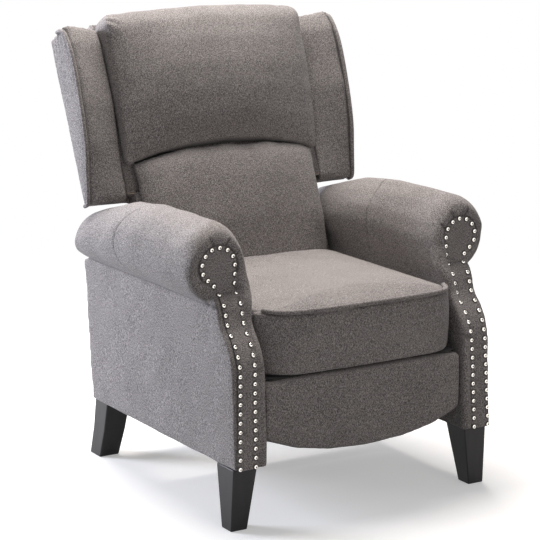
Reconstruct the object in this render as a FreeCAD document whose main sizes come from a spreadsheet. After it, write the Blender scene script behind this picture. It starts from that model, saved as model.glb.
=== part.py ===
"""A pushback recliner with wings, rolled arms and nailhead trim, in millimetres.

The chair faces -Y and stands on Z = 0, with X = 0 in its middle plane. Left is the sitter's left, +X.
Everything here is drawn with the back upright and the footrest closed.
"""

import FreeCAD, Part
import math
import os

import Sketcher
from FreeCAD import Placement, Rotation, Vector

doc = FreeCAD.newDocument("pushback_recliner")
sheet = doc.addObject("Spreadsheet::Sheet", "Sizes")
pieces = {}


class Dim:
    """A size that carries its number and the sheet expression that it comes from."""

    def __init__(self, number, text=None):
        self.number = float(number)
        self.text = text or f"({self.number:.9g})"

    def __float__(self):
        return self.number

    def __neg__(self):
        return Dim(-self.number, f"(0 - {self.text})")

    def __add__(self, other):
        other = dim(other)
        return Dim(self.number + other.number, f"({self.text} + {other.text})")

    def __sub__(self, other):
        other = dim(other)
        return Dim(self.number - other.number, f"({self.text} - {other.text})")

    def __mul__(self, other):
        other = dim(other)
        return Dim(self.number * other.number, f"({self.text} * {other.text})")

    def __truediv__(self, other):
        other = dim(other)
        return Dim(self.number / other.number, f"({self.text} / {other.text})")

    def __radd__(self, other):
        return dim(other) + self

    def __rsub__(self, other):
        return dim(other) - self

    def __rmul__(self, other):
        return dim(other) * self


def dim(value):
    return value if isinstance(value, Dim) else Dim(value)


def size(name, value, note):
    """Write one driving dimension into the sheet and return it."""
    row = size.rows = getattr(size, "rows", 0) + 1
    sheet.set(f"A{row}", note)
    sheet.set(f"B{row}", str(value))
    sheet.setAlias(f"B{row}", name)
    return Dim(value, f"Sizes.{name}")


# Overall
gap = size("gap", 0.3, "clearance between soft or curved neighbours")
leg_height = size("leg_height", 134.5, "floor to the underside of the base")
arm_inner = size("arm_inner", 249, "middle plane to the seat side of an arm")
arm_wide = size("arm_wide", 73, "width of an arm below its roll")
arm_outer = arm_inner + arm_wide
deck_top = size("deck_top", 455, "floor to the top of the arm boxes, where the rolls sit")

# Legs
front_foot = size("front_foot", 39, "side of a front leg's foot")
front_foot_y = size("front_foot_y", -373, "front of a front leg's foot")
front_leg_wide = size("front_leg_wide", 57, "width of a front leg at its top")
front_leg_deep = size("front_leg_deep", 70, "depth of a front leg at its top")
front_leg_lead = size("front_leg_lead", 8, "how far a front leg's top stands ahead of its foot")
rear_foot = size("rear_foot", 49, "side of a rear leg's foot")
rear_foot_y = size("rear_foot_y", 228, "front of a rear leg's foot")
rear_leg_wide = size("rear_leg_wide", 59, "width of a rear leg at its top")
rear_leg_sweep = size("rear_leg_sweep", 34, "how far a rear leg's foot stands behind its top")
leg_inset = size("leg_inset", 2, "leg's outer side to the base's outer side, at the top")

# Arm boxes
outer_skin = size("outer_skin", 12, "thickness of the padded outer side panel")
inner_skin = size("inner_skin", 10, "thickness of the padded inner side panel")
front_skin = size("front_skin", 30, "thickness of the S-curved arm front")
facing = size("facing", 5, "thickness of the nailed facing")
rear_y = size("rear_y", 252, "rear edge of the base at its underside")
rear_lean = size("rear_lean", 30, "how far the rear edge leans back up to the arm roll")
skirt_skin = size("skirt_skin", 10, "thickness of the rear skirt panel")
rail_deep = size("rail_deep", 20, "depth of the wooden rails in the arms")
cross_rail_high = size("cross_rail_high", 36, "height of the base's cross rails")
cross_rail_thick = size("cross_rail_thick", 22, "thickness of the base's cross rails")
front_rail_y = size("front_rail_y", 30, "front of the base's front cross rail")
rear_rail_y = size("rear_rail_y", 196, "front of the base's rear cross rail")

# S-curve of the arm's front, bottom to top
toe_y = size("toe_y", -397.5, "front of the arm at its underside")
knee_y = size("knee_y", -387.5, "front of the arm where the curve starts")
knee_z = size("knee_z", 327, "height where the curve starts")
waist_y = size("waist_y", -345, "front of the arm between the two curves")
waist_z = size("waist_z", 413, "height between the two curves")
neck_y = size("neck_y", -327, "front of the arm below the scroll")
neck_z = size("neck_z", 455, "height below the scroll")
scroll_y = size("scroll_y", -296.5, "front face of the scroll")
scroll_z = size("scroll_z", 490, "height where the scroll's flat face starts")

# Keyhole facing and its nails
scroll_in = size("scroll_in", 18, "the arm's outer side to the scroll's centre")
scroll_x = arm_outer - scroll_in
scroll_mid_z = size("scroll_mid_z", 543, "height of the scroll's centre")
scroll_radius = size("scroll_radius", 44, "radius of the facing round the scroll")
facing_strip = size("facing_strip", 22, "the arm's seat side to the facing's edge at its foot")
facing_edge = size("facing_edge", 3, "the facing's edge to the arm's outer side at its foot")
facing_taper = size("facing_taper", 7, "how far the facing narrows up to its neck")
facing_in = arm_inner + facing_strip
facing_out = arm_outer - facing_edge
facing_neck = facing_out - facing_taper
nail_inset = size("nail_inset", 5.5, "nail centre to the facing's edge")
nail_pitch = size("nail_pitch", 19.3, "distance between nails")
nail_radius = size("nail_radius", 5, "radius of a nail's head")
nail_rise = size("nail_rise", 2.8, "height of a nail's dome")

# Arm roll
roll_lap = size("roll_lap", 10, "how far the roll stands over the seat")
roll_swell = size("roll_swell", 50, "how far the roll stands out over the base's side")
roll_inner = arm_inner - roll_lap
roll_outer = arm_outer + roll_swell
roll_crest = size("roll_crest", 632, "floor to the top of the roll")
roll_top_in = size("roll_top_in", 30, "the arm's outer side to the top of the roll")
roll_crest_x = arm_outer - roll_top_in
roll_belly = size("roll_belly", 548, "height of the roll's widest point")
roll_rear = size("roll_rear", 272, "rear end of the roll")
roll_rear_drop = size("roll_rear_drop", 64, "how far the crest falls towards the rear")

# Seat
seat_side_gap = size("seat_side_gap", 5, "clearance between the seat and an arm")
seat_half = arm_inner - seat_side_gap
seat_front = size("seat_front", -396, "front of the seat's band")
seat_rear = size("seat_rear", 90, "rear of the seat cushion at its top")
seat_corner = size("seat_corner", 84, "width of the seat's rounded front corners, seen from above")
seat_corner_deep = size("seat_corner_deep", 67.5, "depth of the seat's rounded front corners")
seat_welt_z = size("seat_welt_z", 451, "height of the piping on the seat's front edge")
seat_crown = size("seat_crown", 16, "rise of the seat cushion above its piping")
seat_deck = size("seat_deck", 345, "underside of the seat cushion")
band_low = size("band_low", 319, "underside of the band below the piping")
band_thick = size("band_thick", 25, "thickness of the band")
welt_radius = size("welt_radius", 4.5, "radius of the piping")
seat_rail_low = size("seat_rail_low", 306, "underside of the seat's rails")
seat_rail_thick = size("seat_rail_thick", 22, "thickness of the seat's rails")
seat_rail_rear = size("seat_rail_rear", 80, "rear of the seat's frame")
spring_wire = size("spring_wire", 3.2, "side of the seat springs' wire")
spring_wide = size("spring_wide", 44, "width of a seat spring")
spring_count = size("spring_count", 4, "number of seat springs")

# Mechanism, set in layers across each side
plate_thick = size("plate_thick", 3, "thickness of the steel plates and links")
layer_step = size("layer_step", 4, "distance from one layer of the mechanism to the next")
pin_radius = size("pin_radius", 4, "radius of the pivot pins")
pin_play = size("pin_play", 0.05, "radial play of a link on its pin")
open_play = size("open_play", 2.2, "radial play at the pivots where the linkage loops are left open")
link_half = size("link_half", 10, "half the width of a link")
head_radius = size("head_radius", 7.5, "radius of a pin's collar")
head_thick = size("head_thick", 0.6, "thickness of a pin's collar")
swing_front_y = size("swing_front_y", -230, "lower pivot of the front swing link")
swing_rear_y = size("swing_rear_y", -20, "lower pivot of the rear swing link")
swing_low_z = size("swing_low_z", 195, "height of the swing links' lower pivots")
swing_run = size("swing_run", 58.2, "swing link's upper pivot behind its lower one")
swing_rise = size("swing_rise", 51.9, "swing link's upper pivot above its lower one")
recline_y = size("recline_y", 160, "pivot of the back on the seat")
recline_z = size("recline_z", 342, "height of the back's pivot")
drive_y = size("drive_y", 150, "pivot of the back's drive link on the back bracket")
drive_z = size("drive_z", 390, "height of that pivot")
drive_play = size("drive_play", 4, "radial play at that pivot, where the loop is left open")
anchor_y = size("anchor_y", 242, "pivot of the back's drive link on the base plate")
anchor_z = size("anchor_z", 436, "height of that pivot")
rear_pivot_y = size("rear_pivot_y", -289.9, "seat pivot of the footrest's rear link")
rear_pivot_z = size("rear_pivot_z", 258.4, "height of that pivot")
front_pivot_y = size("front_pivot_y", -320, "seat pivot of the footrest's front link")
front_pivot_z = size("front_pivot_z", 292, "height of that pivot")
tail_y = size("tail_y", -231, "pivot between the rear link and the cross link")
tail_z = size("tail_z", 165.1, "height of that pivot")
cross_y = size("cross_y", -256.7, "pivot where the front link and the cross link meet")
cross_z = size("cross_z", 195.7, "height of that pivot")
outer_y = size("outer_y", -267.1, "pivot between the front link and the outer link")
outer_z = size("outer_z", 157.4, "height of that pivot")
rest_in_y = size("rest_in_y", -315, "cross link's pivot on the footrest bracket")
rest_in_z = size("rest_in_z", 295.1, "height of that pivot")
rest_out_y = size("rest_out_y", -328.6, "outer link's pivot on the footrest bracket")
rest_out_z = size("rest_out_z", 254, "height of that pivot")

# Back, in a frame that leans with it
back_y = size("back_y", 231.8, "rear of the back where the wings start")
back_z = size("back_z", 590, "height where the wings start")
back_tilt = size("back_tilt", 23.75, "lean of the back from upright, degrees")
back_skin = size("back_skin", 10, "thickness of the outer back panel")
stile_deep = size("stile_deep", 32, "depth of the back's stiles")
stile_wide = size("stile_wide", 32, "width of the back's stiles")
back_side_gap = size("back_side_gap", 15, "clearance between the back and an arm")
back_low_half = arm_inner - back_side_gap
back_foot = size("back_foot", -250, "foot of the stiles along the back")
back_head = size("back_head", 395, "head of the stiles along the back")
web_thick = size("web_thick", 2, "thickness of the webbing")
web_wide = size("web_wide", 50, "width of a webbing strap")
web_count = size("web_count", 7, "number of webbing straps")
wing_step = size("wing_step", 4.8, "the arm's seat side to a wing's inner side")
wing_wide = size("wing_wide", 97.2, "width of a wing")
wing_inner = arm_inner + wing_step
wing_outer = wing_inner + wing_wide
wing_top = size("wing_top", 386, "top of the wings along the back")
wing_reach = size("wing_reach", 102.5, "how far a wing's outer edge stands ahead of the back's rear")
wing_setback = size("wing_setback", 31, "how far a wing's inner edge lies behind its outer edge")
pillow_gap = size("pillow_gap", 0.8, "clearance between the head pillow and a wing")
pillow_half = wing_inner - pillow_gap
pillow_low = size("pillow_low", 96, "lower edge of the head pillow at its middle, along the back")
pillow_arch = size("pillow_arch", 31, "fall of the pillow's lower edge towards its ends")
pillow_top = size("pillow_top", 402, "seam at the top of the head pillow, along the back")
pillow_front = size("pillow_front", 141, "front of the head pillow ahead of the back's rear")
lumbar_gap = size("lumbar_gap", 2, "the back's side to the lumbar cushion's side")
lumbar_half = back_low_half - lumbar_gap
lumbar_low = size("lumbar_low", -260, "foot of the lumbar cushion along the back")
lumbar_front = size("lumbar_front", 108, "front of the lumbar cushion ahead of the back's rear")

# Footrest
rest_side_gap = size("rest_side_gap", 5, "clearance between the footrest and an arm")
rest_half = arm_inner - rest_side_gap
rest_top = size("rest_top", 311, "top of the footrest")
rest_side_low = size("rest_side_low", 180, "underside of the footrest at its ends")
rest_sag = size("rest_sag", 37.6, "fall of the footrest's lower edge to its middle")
rest_front = size("rest_front", -399, "front of the footrest pad")
rest_board_front = size("rest_board_front", -358, "front of the footrest board")
rest_board_thick = size("rest_board_thick", 13, "thickness of the footrest board")

doc.recompute()


def keep(label, piece):
    """Name a finished sub-part."""
    piece.Label = label
    pieces[label] = piece
    return piece


def block(label, low, high):
    """A rectangular rail between two opposite corners."""
    piece = doc.addObject("Part::Box", label)
    for side, a, b in zip(("Length", "Width", "Height"), low, high):
        piece.setExpression(side, (dim(b) - a).text)
    for axis, a in zip("xyz", low):
        piece.setExpression(f"Placement.Base.{axis}", dim(a).text)
    return piece


def mirrored(label, source):
    """The other side's copy of a piece."""
    piece = doc.addObject("Part::Mirroring", label)
    piece.Source = source
    piece.Normal = Vector(1, 0, 0)
    return piece


def grouped(label, members):
    """Several alike solids kept as one sub-part."""
    piece = doc.addObject("Part::Compound", label)
    piece.Links = members
    return keep(label, piece)


def both_sides(label, piece):
    """Keep a piece made on the left, and its mirror image on the right."""
    keep(f"left_{label}", piece)
    return keep(f"right_{label}", mirrored(f"right_{label}", piece))


def arc_centre(start, end, bulge):
    """Centre and radius of the arc that bulges to the right of the way from start to end."""
    along = end - start
    half = along.Length / 2
    right = Vector(along.y, -along.x, 0).normalize()
    radius = (half**2 + bulge**2) / (2 * abs(bulge))
    away = math.copysign(radius, bulge) - bulge
    return (start + end) / 2 - right * away, radius


def draw(sketch, corners):
    """Close a run of lines and arcs in a sketch, each corner held by the sheet's sizes.

    A corner is (u, v), or (u, v, bulge) where an arc leads to it.
    """
    spots = [Vector(float(c[0]), float(c[1]), 0) for c in corners]
    ends = []
    constraints = []
    for i, corner in enumerate(corners):
        start = spots[i - 1]
        end = spots[i]
        bulge = float(corner[2]) if len(corner) > 2 else 0.0
        if bulge == 0:
            sketch.addGeometry(Part.LineSegment(start, end), False)
            ends.append((1, 2))
            continue
        centre, radius = arc_centre(start, end, bulge)
        first, last = (start, end) if bulge > 0 else (end, start)
        turn = [math.atan2(p.y - centre.y, p.x - centre.x) for p in (first, last)]
        if turn[1] < turn[0]:
            turn[1] += 2 * math.pi
        circle = Part.Circle(centre, Vector(0, 0, 1), radius)
        sketch.addGeometry(Part.ArcOfCircle(circle, *turn), False)
        ends.append((1, 2) if bulge > 0 else (2, 1))
        constraints.append(Sketcher.Constraint("Radius", i, radius))
    count = len(corners)
    for i in range(count):
        after = (i + 1) % count
        constraints.append(Sketcher.Constraint("Coincident", i, ends[i][1], after, ends[after][0]))
    sketch.addConstraint(constraints)
    for i, corner in enumerate(corners):
        for kind, place in zip(("DistanceX", "DistanceY"), corner):
            held = sketch.addConstraint(
                Sketcher.Constraint(kind, -1, 1, i, ends[i][1], float(place))
            )
            sketch.setExpression(f"Constraints[{held}]", dim(place).text)


def sketch_on(body, role, start):
    """A sketch on one of the body's own planes, moved out along the plane's normal."""
    sketch = body.newObject("Sketcher::SketchObject", f"{body.Name}_sketch")
    plane = next(f for f in body.Origin.OriginFeatures if f.Role == role)
    sketch.AttachmentSupport = (plane, [""])
    sketch.MapMode = "FlatFace"
    sketch.setExpression("AttachmentOffset.Base.z", dim(start).text)
    return sketch


def panel(label, role, start, thick, corners, holes=()):
    """A flat piece: an outline on a plane, padded along the plane's normal, with round holes.

    A hole is (u, v, radius).
    """
    body = doc.addObject("PartDesign::Body", label)
    sketch = sketch_on(body, role, start)
    draw(sketch, corners)
    for u, v, radius in holes:
        ring = sketch.addGeometry(Part.Circle(Vector(float(u), float(v), 0), Vector(0, 0, 1), float(radius)), False)
        for kind, place in (("DistanceX", u), ("DistanceY", v)):
            held = sketch.addConstraint(Sketcher.Constraint(kind, -1, 1, ring, 3, float(place)))
            sketch.setExpression(f"Constraints[{held}]", dim(place).text)
        held = sketch.addConstraint(Sketcher.Constraint("Radius", ring, float(radius)))
        sketch.setExpression(f"Constraints[{held}]", dim(radius).text)
    pad = body.newObject("PartDesign::Pad", f"{label}_pad")
    pad.Profile = sketch
    pad.setExpression("Length", dim(thick).text)
    return body


def oblong(low, high):
    """Corners of a rectangle, for a panel."""
    return [(low[0], low[1]), (high[0], low[1]), (high[0], high[1]), (low[0], high[1])]


def lean_back(piece):
    """Set a piece that was drawn upright into the back's leaning frame."""
    piece.Placement = Placement(Vector(0, 0, 0), Rotation(Vector(1, 0, 0), 0))
    piece.setExpression("Placement.Base.y", back_y.text)
    piece.setExpression("Placement.Base.z", back_z.text)
    piece.setExpression("Placement.Rotation.Angle", f"(0 - {back_tilt.text})")
    return piece


def leaning():
    """The same frame, for shapes that aren't bound to expressions."""
    return Placement(Vector(0, float(back_y), float(back_z)), Rotation(Vector(1, 0, 0), -float(back_tilt)))


def ring_wire(place, corners, chords):
    """A closed wire where place turns (u, v) into a point in space, each arc laid out in equal chords."""
    points = []
    flat = [Vector(float(c[0]), float(c[1]), 0) for c in corners]
    for i, corner in enumerate(corners):
        start = flat[i - 1]
        end = flat[i]
        bulge = float(corner[2]) if len(corner) > 2 else 0.0
        if bulge:
            centre, radius = arc_centre(start, end, bulge)
            reach = start - centre
            turn = 4 * math.atan2(2 * bulge, (end - start).Length) / chords
            for step in range(1, chords):
                spin = Rotation(Vector(0, 0, 1), math.degrees(turn * step))
                spot = centre + spin.multVec(reach)
                points.append(place(spot.x, spot.y))
        points.append(place(end.x, end.y))
    return Part.makePolygon([*points, points[0]])


def loft_across(label, stations, section, chords, placement=None):
    """A soft form through closed sections, each in a plane square to X."""
    wires = [ring_wire(lambda u, v, x=x: Vector(x, u, v), section(x), chords) for x in stations]
    piece = doc.addObject("Part::Feature", label)
    piece.Shape = Part.makeLoft(wires, True, True)
    if placement:
        piece.Placement = placement
    return piece


def both_ways(*places):
    """Stations on both sides of the middle plane, from right to left."""
    spots = [float(p) for p in places]
    return [-p for p in reversed(spots) if p] + spots


def piping(label, points, radius, placement=None):
    """An eight-sided cord through the given points, each ring square to the cord."""
    spots = [Vector(*(float(c) for c in p)) for p in points]
    rings = []
    for i, spot in enumerate(spots):
        before = spots[max(i - 1, 0)]
        after = spots[min(i + 1, len(spots) - 1)]
        along = (after - before).normalize()
        side = along.cross(Vector(0, 0, 1))
        if side.Length < 0.3:
            side = along.cross(Vector(1, 0, 0))
        side.normalize()
        rise = side.cross(along).normalize()
        corners = []
        for k in range(8):
            turn = math.radians(45 * k + 22.5)
            corners.append(spot + side * (float(radius) * math.cos(turn)) + rise * (float(radius) * math.sin(turn)))
        rings.append(Part.makePolygon([*corners, corners[0]]))
    piece = doc.addObject("Part::Feature", label)
    piece.Shape = Part.makeLoft(rings, True, True)
    if placement:
        piece.Placement = placement
    return piece


def leg(label, levels):
    """A tapered leg through rectangular sections, each (z, low corner, high corner), from the floor up."""
    parts = []
    for number, (below, above) in enumerate(zip(levels, levels[1:])):
        part = doc.addObject("Part::Wedge", f"{label}_{number}")
        part.Placement = Placement(Vector(0, 0, 0), Rotation(Vector(1, 0, 0), 90))
        for end, (level, low, high) in zip(("", "2"), (below, above)):
            part.setExpression(f"X{end}min", dim(low[0]).text)
            part.setExpression(f"X{end}max", dim(high[0]).text)
            part.setExpression(f"Z{end}min", (-dim(high[1])).text)
            part.setExpression(f"Z{end}max", (-dim(low[1])).text)
        part.setExpression("Ymin", dim(below[0]).text)
        part.setExpression("Ymax", dim(above[0]).text)
        parts.append(part)
    return parts[0] if len(parts) == 1 else fused(label, parts)


def front_leg():
    """Straight taper, with its outer front edge nearly upright."""
    foot_low = (arm_outer - front_foot, front_foot_y)
    foot_high = (arm_outer, front_foot_y + front_foot)
    top_low = (arm_outer - leg_inset - front_leg_wide, front_foot_y - front_leg_lead)
    top_high = (arm_outer - leg_inset, front_foot_y - front_leg_lead + front_leg_deep)
    return leg("left_front_leg", [(0, foot_low, foot_high), (leg_height, top_low, top_high)])


def rear_leg():
    """Swept back, most of the sweep in its lower half."""
    inner = arm_outer - leg_inset * 2 - rear_foot
    levels = []
    for share, sweep in ((0.0, 0.0), (0.5, 0.62), (1.0, 1.0)):
        low_x = inner - (rear_leg_wide - rear_foot) * (1.4 * share)
        side = rear_foot + (rear_leg_wide - rear_foot) * share
        low_y = rear_foot_y - rear_leg_sweep * sweep
        levels.append((leg_height * share, (low_x, low_y), (low_x + side, low_y + side)))
    return leg("left_rear_leg", levels)


def front_line_up(setback):
    """The arm's front edge from the toe up to the scroll, as (y, z, bulge) corners."""
    return [
        (toe_y + setback, leg_height),
        (knee_y + setback, knee_z),
        (waist_y + setback, waist_z, -10),
        (neck_y + setback, neck_z, 3),
        (scroll_y + setback, scroll_z, -4),
    ]


def front_line_down(setback):
    """The same edge from the scroll down to the toe."""
    return [
        (scroll_y + setback, scroll_z),
        (neck_y + setback, neck_z, 4),
        (waist_y + setback, waist_z, -3),
        (knee_y + setback, knee_z, 10),
        (toe_y + setback, leg_height),
    ]


def side_outline(front, rear):
    """A side panel between the arm's front curve and its leaning rear edge."""
    return [
        (neck_y + front, deck_top),
        *front_line_down(front)[2:],
        (rear_y - rear, leg_height),
        (rear_y + rear_lean - rear, deck_top),
    ]


def legs():
    both_sides("front_leg", front_leg())
    both_sides("rear_leg", rear_leg())


def arm_boxes():
    """The panels and rails of the arms below their rolls."""
    behind = facing + gap + front_skin + gap
    outer = panel(
        "left_arm_outer_panel", "YZ_Plane", arm_outer - outer_skin, outer_skin, side_outline(behind, 0)
    )
    both_sides("arm_outer_panel", outer)
    inner = panel(
        "left_arm_inner_panel", "YZ_Plane", arm_inner, inner_skin, side_outline(behind, skirt_skin)
    )
    both_sides("arm_inner_panel", inner)

    board_corners = [
        *front_line_down(facing + gap),
        *front_line_up(facing + gap + front_skin)[:4],
        (scroll_y + facing + gap * 2, scroll_z),
    ]
    board = panel("left_arm_front_board", "YZ_Plane", arm_inner, arm_outer - arm_inner, board_corners)
    both_sides("arm_front_board", board)

    rail_in = arm_inner + inner_skin
    rail_out = arm_outer - outer_skin
    rail_front = toe_y + behind + 2
    top = block(
        "left_top_rail",
        (rail_in, neck_y + behind + 2, deck_top - rail_deep),
        (rail_out, rear_y, deck_top),
    )
    grouped("arm_top_rails", [top, mirrored("right_top_rail", top)])
    low = block(
        "left_bottom_rail",
        (rail_in, rail_front, leg_height),
        (rail_out, rear_y - skirt_skin, leg_height + rail_deep),
    )
    grouped("arm_bottom_rails", [low, mirrored("right_bottom_rail", low)])


def facing_outline(inset):
    """The keyhole of an arm's facing, clockwise from its inner foot, as (x, z, bulge) corners."""
    radius = scroll_radius - inset
    quarter = float(radius) * (1 - math.cos(math.radians(45)))
    tail = float(radius) * (1 - math.cos(math.radians(20)))
    turn = math.radians(40)
    return [
        (facing_in + inset, leg_height + inset),
        (facing_in + inset - 3, knee_z - 27),
        (facing_in + inset - 9, waist_z + 28),
        (scroll_x - radius, scroll_mid_z),
        (scroll_x, scroll_mid_z + radius, -quarter),
        (scroll_x + radius, scroll_mid_z, -quarter),
        (scroll_x + radius * math.cos(turn), scroll_mid_z - radius * math.sin(turn), -tail),
        (facing_neck - inset, neck_z + 25, 6),
        (facing_neck - inset, knee_z + 23),
        (facing_out - inset, leg_height + inset),
    ]


def arm_facing():
    """The nailed keyhole facing, bent along the arm's front curve."""
    slab_corners = [
        *front_line_down(0),
        *front_line_up(facing),
        (scroll_y + facing, scroll_mid_z + scroll_radius + 10),
        (scroll_y, scroll_mid_z + scroll_radius + 10),
    ]
    slab = panel("facing_slab", "YZ_Plane", arm_inner, 110, slab_corners)
    keyhole = panel("facing_keyhole", "XZ_Plane", 250, 180, facing_outline(Dim(0)))
    cut = doc.addObject("Part::Common", "left_arm_front_panel")
    cut.Base = slab
    cut.Tool = keyhole
    both_sides("arm_front_panel", cut)


def peak(ring, tip):
    """A low flat-sided cone on a ring of points."""
    faces = [Part.Face(Part.makePolygon([*ring, ring[0]]))]
    for before, after in zip(ring, [*ring[1:], ring[0]]):
        faces.append(Part.Face(Part.makePolygon([before, after, tip, before])))
    solid = Part.Solid(Part.Shell(faces))
    return solid if solid.Volume > 0 else solid.reversed()


def nail_domes():
    """Domed nail heads, evenly spaced along the facing's edge, square to its surface."""
    edges = []
    spots = [Vector(float(c[0]), 0, float(c[1])) for c in facing_outline(nail_inset)]
    for before, after, corner in zip(spots, spots[1:], facing_outline(nail_inset)[1:]):
        if len(corner) < 3:
            edges.append(Part.LineSegment(before, after).toShape())
            continue
        along = after - before
        right = Vector(along.z, 0, -along.x).normalize()
        edges.append(Part.Arc(before, (before + after) / 2 + right * corner[2], after).toShape())
    path = Part.Wire(edges)
    count = int(path.Length / float(nail_pitch) + 0.5)
    front = [Vector(0, float(c[0]), float(c[1])) for c in front_line_up(0)]
    lines = []
    for before, after, corner in zip(front, front[1:], front_line_up(0)[1:]):
        if len(corner) < 3:
            lines.append(Part.LineSegment(before, after).toShape())
            continue
        along = after - before
        right = Vector(0, along.z, -along.y).normalize()
        lines.append(Part.Arc(before, (before + after) / 2 + right * corner[2], after).toShape())
    trace = Part.Wire(lines).discretize(Number=240)
    flat = float(nail_radius)
    rise = float(nail_rise)
    domes = []
    for spot in path.discretize(Number=count + 1):
        level = spot.z
        y = float(scroll_y)
        normal = Vector(0, -1, 0)
        for before, after in zip(trace, trace[1:]):
            if before.z <= level < after.z:
                share = (level - before.z) / (after.z - before.z)
                y = before.y + (after.y - before.y) * share
                normal = Vector(0, before.z - after.z, after.y - before.y).normalize()
        seat = Vector(spot.x, y, level) - normal * 0.2
        turned = Placement(seat, Rotation(Vector(0, 0, 1), normal))
        turns = [math.radians(45 * k) for k in range(8)]
        ring = [turned.multVec(Vector(flat * math.cos(t), flat * math.sin(t), 0)) for t in turns]
        domes.append(peak(ring, turned.multVec(Vector(0, 0, rise))))
    piece = doc.addObject("Part::Feature", "left_nailheads")
    piece.Shape = Part.makeCompound(domes)
    both_sides("nailheads", piece)


def roll_section(y, inset, crest, outer, belly, inner):
    """The roll's outline at one station, counterclockwise, as (x, z, bulge) corners."""
    shrink = 1 - inset / 60
    foot = float(deck_top)
    low_out = float(arm_outer) - 4
    top_x = float(roll_crest_x)
    corners = [
        (float(arm_inner), foot),
        (low_out - inset, foot),
        (low_out + 4 - inset, foot + 7),
        (low_out + 16 - inset, foot + 19),
        (outer - inset, belly, 14 * shrink),
        (top_x, crest - inset, 24 * shrink * (crest - belly) / 84),
        (inner + inset, foot + 45, 27 * shrink * (crest - foot - 45) / 132),
    ]
    return ring_wire(lambda u, v: Vector(u, y, v), corners, 4)


def arm_roll():
    """The padded roll: round in front, level, then falling towards its rounded rear end."""
    crest = float(roll_crest)
    outer = float(roll_outer)
    belly = float(roll_belly)
    inner = float(roll_inner)
    rear = float(roll_rear)
    front = float(scroll_y) + float(facing) + 3 * float(gap)
    drop = float(roll_rear_drop) / 64
    stations = [
        (front, 7, crest, outer, belly, inner),
        (front + 14, 0, crest, outer, belly, inner),
        (rear - 333, 0, crest, outer, belly, inner),
        (rear - 212, 0, crest - 12 * drop, outer - 1, belly - 3, inner),
        (rear - 75, 0, crest - 49 * drop, outer - 6, belly - 16, inner),
        (rear - 20, 0, crest - 64 * drop, outer - 16, belly - 27, inner + 1),
        (rear, 0, crest - 92 * drop, outer - 37, belly - 36, inner + 10),
    ]
    piece = doc.addObject("Part::Feature", "left_arm_pad")
    piece.Shape = Part.makeLoft([roll_section(*s) for s in stations], True, True)
    both_sides("arm_pad", piece)


def base_frame():
    """The rails that join the arms, and the skirt panel behind them."""
    for label, start in (("front_cross_rail", front_rail_y), ("rear_cross_rail", rear_rail_y)):
        rail = block(
            label,
            (-arm_inner, start, leg_height),
            (arm_inner, start + cross_rail_thick, leg_height + cross_rail_high),
        )
        keep(label, rail)
    half = arm_outer - outer_skin
    top = deck_top - gap
    skirt = panel(
        "rear_skirt_panel",
        "YZ_Plane",
        -half,
        half * 2,
        [
            (rear_y - skirt_skin, leg_height),
            (rear_y, leg_height),
            (rear_y + rear_lean, top),
            (rear_y + rear_lean - skirt_skin, top),
        ],
    )
    keep("rear_skirt_panel", skirt)


def layer(number):
    """Inner face of a layer of the mechanism, counted from the footrest bracket outwards."""
    return arm_inner - plate_thick - layer_step * (6 - number)


def rod(label, y, z, low, high, radius):
    """A round bar along X."""
    piece = doc.addObject("Part::Cylinder", label)
    piece.Placement = Placement(Vector(0, 0, 0), Rotation(Vector(0, 1, 0), 90))
    piece.setExpression("Radius", dim(radius).text)
    piece.setExpression("Height", (dim(high) - low).text)
    for axis, place in zip("xyz", (low, y, z)):
        piece.setExpression(f"Placement.Base.{axis}", dim(place).text)
    return piece


def pivot(label, y, z, fixed, free, headed=True):
    """A pivot pin from its fixed end to its free end, where a hexagonal head may hold the link on."""
    if not headed:
        low, high = sorted((fixed, free), key=float)
        return [rod(f"{label}_shank", y, z, low, high, pin_radius)]
    if float(free) > float(fixed):
        shank = rod(f"{label}_shank", y, z, fixed, free - head_thick / 2, pin_radius)
        start = free - head_thick
    else:
        shank = rod(f"{label}_shank", y, z, free + head_thick / 2, fixed, pin_radius)
        start = free
    head = doc.addObject("Part::Prism", f"{label}_head")
    head.Polygon = 6
    head.Placement = Placement(Vector(0, 0, 0), Rotation(Vector(0, 1, 0), 90))
    head.setExpression("Circumradius", head_radius.text)
    head.setExpression("Height", head_thick.text)
    for axis, place in zip("xyz", (start, y, z)):
        head.setExpression(f"Placement.Base.{axis}", dim(place).text)
    return [shank, head]


def fused(label, parts):
    piece = doc.addObject("Part::MultiFuse", label)
    piece.Shapes = parts
    return piece


def link_outline(pivots, half):
    """A strap with chamfered ends through two or three pivots, held by the pivots' own sizes."""
    spots = [Vector(float(y), float(z), 0) for y, z in pivots]
    ways = [(b - a).normalize() for a, b in zip(spots, spots[1:])]
    reach = float(half)
    right = []
    left = []
    for i in range(len(spots)):
        before = ways[max(i - 1, 0)]
        after = ways[min(i, len(ways) - 1)]
        side = (Vector(before.y, -before.x, 0) + Vector(after.y, -after.x, 0)).normalize()
        step = side * (reach / side.dot(Vector(after.y, -after.x, 0)))
        y, z = pivots[i]
        right.append((y + step.x, z + step.y))
        left.append((y - step.x, z - step.y))
    tips = []
    for i, way in ((0, -ways[0]), (-1, ways[-1])):
        side = Vector(-way.y, way.x, 0) * (reach * 0.55)
        nose = way * (reach * 0.92)
        y, z = pivots[i]
        tips.append([(y + nose.x - side.x, z + nose.y - side.y), (y + nose.x + side.x, z + nose.y + side.y)])
    return [*tips[0], *right, *tips[1], *reversed(left)]


def strap(label, number, pivots, holes, pins=()):
    """The pair of links of one layer, with their holes and the pins fixed in them."""
    plate = panel(f"left_{label}", "YZ_Plane", layer(number), plate_thick, link_outline(pivots, link_half), holes)
    if pins:
        plate = fused(f"left_{label}_pinned", [plate, *pins])
    return grouped(label, [plate, mirrored(f"right_{label}", plate)])


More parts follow.
